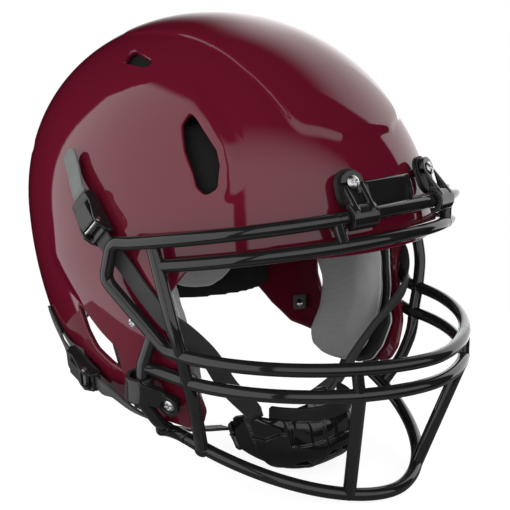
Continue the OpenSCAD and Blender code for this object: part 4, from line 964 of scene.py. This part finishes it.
def cross_screw(on, under_head, head_r, rim_h, dome, shaft_r, end):
    # Rings from the middle of the head outward, then down its rim and along the shaft to its end
    around, head_rings = 48, 17
    corners = [2 * math.pi * j / around for j in range(around)]
    pts = []
    for k in range(head_rings):
        r = head_r * max(k, 0.04) / (head_rings - 1)
        for a in corners:
            x, y = r * math.cos(a), r * math.sin(a)
            long, short = max(abs(x), abs(y)), min(abs(x), abs(y))
            arm = stepped((head_r * 0.62 - long) / 0.5) * stepped((0.75 - short) / 0.35)
            rise = dome * (1 - (r / head_r) ** 2) - 1.1 * arm * (1 - 0.3 * r / head_r)
            pts.append((x, y, under_head + rim_h + rise))
    for r, z in ((head_r * 1.01, under_head + rim_h * 0.6), (head_r, under_head), (shaft_r, under_head - 0.02),
            (shaft_r, end)):
        pts += [(r * math.cos(a), r * math.sin(a), z) for a in corners]
    rings = head_rings + 4
    faces = [(a, d, c, b) for a, b, c, d in ring_quads(rings, around)]
    return list(on(pts)), faces + [cap[::-1] for cap in end_caps(rings, around)]


def steel_piece(name, parts, node):
    piece = mesh_piece(name, *joined(parts + [flipped_side(part) for part in parts]))
    piece.data.materials.append(steel)
    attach(piece, "helmet")
    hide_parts(node)


steel_piece("top_clip_cross_screws", [cross_screw(clip_seat, 11.1, 4.0, 0.7, 1.5, 2.4, -7.6)], "top_clip_screws")
steel_piece("side_clip_cross_screws", [cross_screw(side_seat, 6.05, 4.1, 0.6, 1.3, 2.4, -9.6)], "side_clip_screws")
steel_piece("flank_cross_screws", [cross_screw(flank_seat, 0.3, 3.1, 0.4, 0.9, 2.4, -7.5)], "flank_screws")
steel_piece("buckle_cross_screws", [cross_screw(upper_seat, 2.05, 4.0, 0.4, 0.8, 2.4, -9.2),
    cross_screw(lower_seat, 2.05, 4.0, 0.4, 0.8, 2.4, -9.2)], "buckle_screws")
black_steel = plastic_look("blackened_steel", (0.060, 0.060, 0.062), (0.085, 0.085, 0.088), 0.32, 900, 0.10)
for name, node, cover in (("upper_clip_tee_nuts", "top_clip_nuts", black_steel),
        ("side_clip_tee_nuts", "side_clip_nuts", black_steel), ("strap_nut_plates", "buckle_nut_plates", black_steel),
        ("cam_lever_pins", "lever_pins", steel), ("bumper_fixing_screws", "bumper_screws", steel)):
    fastener = softened(name, node, 2, "helmet", cover)
    if name == "strap_nut_plates":
        # The two plates behind the lower buckles stand upright, whatever way their straps run
        spots = np.array([v.co[:] for v in fastener.data.vertices]) * 1000 - shell_centre
        sign = np.where(spots[:, :1] > 0, -1, 1) * (1, 0, 0) + (0, 1, 1)
        arm = spots * sign - lower_base
        axis = normal_at(lower_base)
        angle = math.atan2(-lower_run[2], -lower_run[1])
        turned = math.cos(angle) * arm + math.sin(angle) * np.cross(arm, axis) + (
            1 - math.cos(angle)) * np.outer(arm @ axis, axis)
        plate_reach = 40
        lower = np.linalg.norm(arm, axis=1) < plate_reach
        spots[lower] = ((turned + lower_base) * sign)[lower]
        fastener.data.vertices.foreach_set("co", ((spots + shell_centre) / 1000).ravel())

# Straps: flat nylon webbing 12 mm wide, woven with a firm selvage and run through the buckles to the cup.
# The free end above each buckle is heat cut and rounded.
strap_w, strap_t, strap_tip_r = 12.0, 1.8, 6.0
strap_mid = 4.6
panel_rise = 2.4
free_end_length = 0.036


def on_side(y, z, proud):
    return flank_point(y, z, proud), normal_at(flank_point(y, z))


def in_buckle(on, x, z):
    return on([(x, 0, z)])[0], on([(0, 0, 1)])[0] - on([(0, 0, 0)])[0]


def ribbon(stops, width, thick, tip_r):
    pts = np.array([np.concatenate([p, n]) for p, n in stops], float)
    n = len(pts)
    curve = []
    for i in range(n - 1):
        a, b, c, d = pts[max(i - 1, 0)], pts[i], pts[i + 1], pts[min(i + 2, n - 1)]
        for t in np.linspace(0, 1, 12, endpoint=False):
            curve.append((b * 2 + (c - a) * t + (a * 2 - b * 5 + c * 4 - d) * t * t
                + (b * 3 - a - c * 3 + d) * t ** 3) / 2)
    curve = np.array(curve + [pts[-1]])
    run = np.concatenate([[0], np.cumsum(np.linalg.norm(np.diff(curve[:, :3], axis=0), axis=1))])
    marks = np.concatenate([[0.0, 0.25, 0.7, 1.3, 2.1, 3.2, 4.6], np.arange(tip_r, run[-1], 1.5), [run[-1]]])
    line = np.stack([np.interp(marks, run, curve[:, k]) for k in range(6)], 1)
    spot, face = line[:, :3], line[:, 3:]
    ahead = np.gradient(spot, marks, axis=0)
    ahead /= np.linalg.norm(ahead, axis=1)[:, None]
    across = np.cross(face, ahead)
    across /= np.linalg.norm(across, axis=1)[:, None]
    up = np.cross(ahead, across)
    w, h = width / 2, thick / 2
    under = [(-w, -0.45 * h), (-w + 0.35, -0.9 * h), (-w + 0.9, -h), (-w + 1.6, -0.86 * h), (0, -0.9 * h),
        (w - 1.6, -0.86 * h), (w - 0.9, -h), (w - 0.35, -0.9 * h), (w, -0.45 * h)]
    section = under + [(x, -z) for x, z in reversed(under)]
    pts, cloth = [], []
    for i, s in enumerate(marks):
        back = max(0, 1 - s / tip_r)
        wide = max(0.06, math.sqrt(1 - back ** 2))
        flat = 0.55 if i == 0 else 1
        for x, z in section:
            pts.append(spot[i] + across[i] * x * wide + up[i] * z * flat)
            cloth.append((x * wide / 1000, s / 1000))
    return pts, ring_quads(len(marks), len(section)) + end_caps(len(marks), len(section)), cloth


def webbing_look(name, shade, light):
    # Twill of fine yarns, laid out along the webbing's own width and length
    made, tree, yarn = begun_look(name, {"Roughness": 0.55, "Specular IOR Level": 0.35, "Sheen Weight": 0.15})
    run = added(tree, "TexCoord", {}).outputs["UV"]
    waves = [added(tree, "TexWave", {"Vector": run, "Scale": wave_scale / pitch}, bands_direction=way).outputs["Fac"]
        for way, pitch in (("DIAGONAL", 0.0010), ("X", 0.0008))]
    yarns = added(tree, "Math", {0: waves[0], 1: waves[1]}, operation="MULTIPLY").outputs[0]
    blend = added(tree, "Math", {0: yarns, 1: 0.5, 2: noise_on(tree, 120, 5)}, operation="MULTIPLY_ADD").outputs[0]
    tint_between(tree, yarn, blend, shade, light)
    bumped(tree, yarn, blend, 0.35, 0.0002)
    return made


dark_webbing = webbing_look("dark_grey_webbing", (0.016, 0.016, 0.017), (0.030, 0.030, 0.032))
# A lighter copy of the webbing for the free ends above the upper buckles: painted light where the light catches them
lit_end_webbing = webbing_look("painted_light_free_end_webbing", (0.090, 0.094, 0.094), (0.150, 0.156, 0.154))


def strap_piece(name, part, free_end, node):
    pts, faces, cloth = part
    piece = mesh_piece(name, pts, faces)
    layout = piece.data.uv_layers.new(name="webbing_run")
    for loop in piece.data.loops:
        layout.data[loop.index].uv = cloth[loop.vertex_index]
    piece.data.materials.append(dark_webbing)
    piece.data.materials.append(lit_end_webbing)
    # Faces along the free end take the lighter webbing, painted light
    for side in piece.data.polygons:
        if max(cloth[v][1] for v in side.vertices) < free_end and len(side.vertices) == 4:
            side.material_index = 1
    twin = mirror_piece(piece, name.replace("right", "left"))
    for strap, strap_node in ((piece, node + "_right"), (twin, node + "_left")):
        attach(strap, "helmet")
        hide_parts(strap_node)


strap_piece("right_upper_strap_webbing", ribbon([on_side(30, 54, 6), on_side(20, 43, 5.8),
    in_buckle(upper_seat, -22, 4.9), *(in_buckle(upper_seat, x, strap_mid) for x in (-16.5, -8, 8, 15)),
    in_buckle(upper_seat, 19.5, 4.1), on_side(-31, -9, panel_rise + 1.5),
    on_side(-41, -20, panel_rise + 1.35), on_side(-50, -29.5, panel_rise + 1.35),
    on_side(-57, -36.5, panel_rise + 1.5),
    ((-106.2, -66.5, -45), (-0.78, -0.6, 0.15)), ((-95.6, -70.5, -56.5), (-0.55, -0.8, 0.22)),
    ((-84, -67.6, -67.8), (-0.45, -0.88, 0.1)), ((-74, -63.2, -79), (-0.5, -0.86, 0.1)),
    ((-61, -59.9, -93.8), (-0.5, -0.85, 0.18)), ((-43, -59, -111.5), (-0.5, -0.82, 0.2)),
    ((-39, -57.2, -116.5), (-0.5, -0.82, 0.2)), ((-35.6, -55.4, -121.5), (-0.5, -0.82, 0.2))],
    strap_w, strap_t, strap_tip_r), free_end_length, "upper_strap")
strap_piece("right_lower_strap_webbing", ribbon([on_side(86, -63, 1.3), on_side(76, -69, 1.8), on_side(63, -77, 2.8),
    in_buckle(lower_seat, -22, 4.0), *(in_buckle(lower_seat, x, strap_mid) for x in (-16.5, -8, 8, 15)),
    in_buckle(lower_seat, 19.5, 4.8),
    ((-111.4, -2.5, -97), (-0.85, 0, -0.53)), ((-105, -16, -106.6), (-0.72, 0, -0.69)),
    ((-93, -25, -115.4), (-0.5, 0, -0.87)), ((-75, -30.8, -124), (-0.4, -0.05, -0.92)),
    ((-41.35, -34, -131.5), (-0.15, -0.1, -0.98))], strap_w, strap_t, strap_tip_r), 0.0, "lower_strap")

# Chin cup: a hard black bowl with rails beside each strap's lane, upright ribs and small air openings.
# It holds a soft grey lining, and a soft black band rises out of its front edge.
cup_w, cup_d, cup_h, cup_wall, cup_front, cup_z = 80.0, 66.0, 40.0, 2.6, 98.0, 135.5
cup_curve = np.array([(1, 0.9), (1, 0.1), (0.8, -0.46), (0.6, -0.86), (0.42, -1), (0.24, -0.94), (0.08, -0.56),
    (0, -0.24), (0.015, 0.4), (0.05, 1), (0.3, 1.3), (0.75, 1.3)])
for _ in range(3):
    cut = np.stack([cup_curve[:-1] * 0.75 + cup_curve[1:] * 0.25, cup_curve[:-1] * 0.25 + cup_curve[1:] * 0.75], 1)
    cup_curve = np.concatenate([cup_curve[:1], cut.reshape(-1, 2), cup_curve[-1:]])
cup_run = np.concatenate([[0], np.cumsum(np.linalg.norm(np.diff(cup_curve, axis=0), axis=1))])
cup_run /= cup_run[-1]
cup_middle = np.array([0.0, -66.0, -131.0])
lobe_start = 0.86
rim_share, rim_slope = 0.36, 0.0524


def cup_point(uv, proud=0.0):
    # Across the cup along u and round its side view along v; past lobe_start the ring closes over the lobe
    reach = np.clip(np.abs(uv[:, 0]) / 0.5, 0, 1)
    swing = 0.985 * np.sin(np.minimum(reach / lobe_start, 1) * math.pi / 2)
    closing = np.clip((reach - lobe_start) / (1 - lobe_start), 0, 1)
    deep = (1 - swing ** 2.6) ** (1 / 2.6)
    tall = 0.4 + 0.6 * np.sqrt(1 - swing ** 3)
    q0 = np.interp(uv[:, 1], cup_run, cup_curve[:, 0])
    q1 = np.interp(uv[:, 1], cup_run, cup_curve[:, 1])
    k = 1 + proud / (cup_d / 2)
    y = cup_d - cup_front - cup_d * (1 - q0) * deep
    z = (0.3 + (q1 - 0.3) * tall) * cup_h / 2
    y = y + (-41.5 - y) * closing
    z = z + (2.5 - z) * closing
    x = np.sign(uv[:, 0]) * (swing * (cup_w / 2 + proud) + 0.6 * np.sin(closing * math.pi / 2))
    return np.stack([x, -cup_front + cup_d / 2 + (y + cup_front - cup_d / 2) * k, -cup_z + (z + 1) * k - 1], 1)


def cup_normal(uv, surface=cup_point):
    n = np.cross(*slopes(surface, uv, 0.002))
    n /= np.maximum(np.linalg.norm(n, axis=1), 1e-9)[:, None]
    out = (n * (surface(uv) - cup_middle)).sum(1) < 0
    return np.where(out[:, None], -n, n)


def cup_rim(p, rise):
    # Height left below the sloping rim
    return -cup_z + cup_h * rim_share + rise - rim_slope * p[:, 1] - p[:, 2]


pocket = rounded_outline([(-53, 4), (-66.4, 3.1), (-75.7, 8.8), (-80, 9.2), (-84.5, 1.1), (-83.5, -5), (-77, -15),
    (-60, -26), (-50, -26)], 2)
lobe_cut = rounded_outline([(-20, 30), (-62, 30), (-58, 15.2), (-47, 15.6), (-40, 13), (-35.5, 8), (-33.6, 0),
    (-33.6, -12), (-20, -12)], 3)
bowl_edge = rounded_outline([(31, 1), (20, 3.2), (12, 4.6), (0, 6.2), (-12, 4.6), (-20, 3.2), (-31, 1), (-31, -40),
    (31, -40)], 2)
low_opening = rounded_outline([(-26.5, -13.5), (-23.5, -9), (-15, -15)], 0.8)
high_opening = rounded_outline([(-10.5, -8), (-7.4, -3.6), (-2.4, -3.8), (-3, -6.6)], 0.8)
cup_step_w = 0.9
lane_y, lane_z, lane_way, rail_off = -55.5, -12.5, (0.866, 0.5), 8.2
rail_h, pocket_h, bowl_h, rib_h = 1.5, 1.1, 0.9, 1.3
rib_places = (12, 30.5)


def cup_outside(uv):
    # Rails beside the strap's lane, a raised pocket behind it, and the bowl with its ribs in front
    p = cup_point(uv)
    side = np.stack([p[:, 1], p[:, 2] + cup_z], 1)
    front = np.stack([p[:, 0], p[:, 2] + cup_z], 1)
    lane = np.abs((p[:, 1] - lane_y) * lane_way[0] - lane_way[1] * (p[:, 2] + cup_z - lane_z))
    aside = stepped((np.abs(p[:, 0]) - 19.5) / 1.0)
    ahead = stepped((-70 - p[:, 1]) / 2.0)
    rails = rail_h * stepped((1.5 - np.abs(lane - rail_off)) / 0.8) * aside
    pockets = pocket_h * stepped(inside_distance(pocket, side) / cup_step_w + 0.5) * stepped(
        (np.abs(p[:, 0]) - 26) / 1.0) * stepped((lane - 8.7) / 0.8)
    bowl = bowl_h * stepped(inside_distance(bowl_edge, front) / cup_step_w + 0.5) * ahead
    ribs = np.zeros(len(p))
    for x in rib_places:
        ribs = np.maximum(ribs, rib_h * stepped((1.3 - np.abs(np.abs(p[:, 0]) - x)) / 0.8) * ahead)
    lift = np.maximum(np.maximum(rails, pockets), np.maximum(bowl, ribs))
    return p + cup_normal(uv) * lift[:, None]


def cup_depth(p):
    side = np.stack([p[:, 1], p[:, 2] + cup_z], 1)
    front = np.stack([-np.abs(p[:, 0]), p[:, 2] + cup_z], 1)
    depth = np.minimum(-35 - p[:, 1], cup_rim(p, 0))
    depth = np.minimum(depth, np.maximum(-inside_distance(lobe_cut, side), 16 - np.abs(p[:, 0])))
    openings = np.maximum(inside_distance(low_opening, front), inside_distance(high_opening, front))
    return np.minimum(depth, np.where(p[:, 1] < -72, -openings, 50))


def band_point(uv, proud=-2.9):
    # An upright strip that follows the plan of the cup's rim
    p = cup_point(np.stack([uv[:, 0], np.full(len(uv), 0.62)], 1), proud)
    p[:, 2] = cup_h * rim_share - cup_z - rim_slope * p[:, 1] + 28 * (uv[:, 1] - 0.5)
    return p


def cup_sheet(name, outer_of, inner_of, depth_of, edge_r, wall, lines, normal_of=cup_normal):
    count = lines
    grid = np.array([(i, j) for j in range(count + 1) for i in range(count + 1)], float) / count - (0.5, 0)
    spot = np.arange(len(grid)).reshape(count + 1, count + 1)
    return moulded_sheet(name, grid, grid_quads(spot), outer_of, inner_of, normal_of, depth_of, edge_r, wall,
        1 / count)


chin_cup = cup_sheet("hard_chin_cup", cup_outside, lambda uv: cup_point(uv, -cup_wall), cup_depth, 0.8, cup_wall,
    200)
cup_lining = cup_sheet("chin_cup_lining", lambda uv: cup_point(uv, -4.1), lambda uv: cup_point(uv, -8.4),
    lambda p: np.minimum(-39 - p[:, 1], cup_rim(p, -6)), 1.9, 4.3, 120)
cup_band = cup_sheet("soft_chin_band", band_point, lambda uv: band_point(uv, -5.5),
    lambda p: np.minimum(np.minimum(-66 - p[:, 1], cup_rim(p, 7.5)), 5.7 - cup_rim(p, 0)), 1.1, 2.6, 120,
    lambda uv: cup_normal(uv, band_point))
cup_gloss = plastic_look("polished_cup_plastic", (0.0060, 0.0060, 0.0065), (0.0110, 0.0110, 0.0115), 0.06, 700,
    0.04)
for piece, node, cover, slot, soft in ((chin_cup, "chin_cup", cup_gloss, "black_plastic", False),
        (cup_lining, "chin_cup_pad", grey_knit, "grey_cushion", True),
        (cup_band, "chin_cup_band", rubber, "black_cushion", True)):
    piece.data.materials.append(cover)
    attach(piece, "cup")
    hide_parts(node)
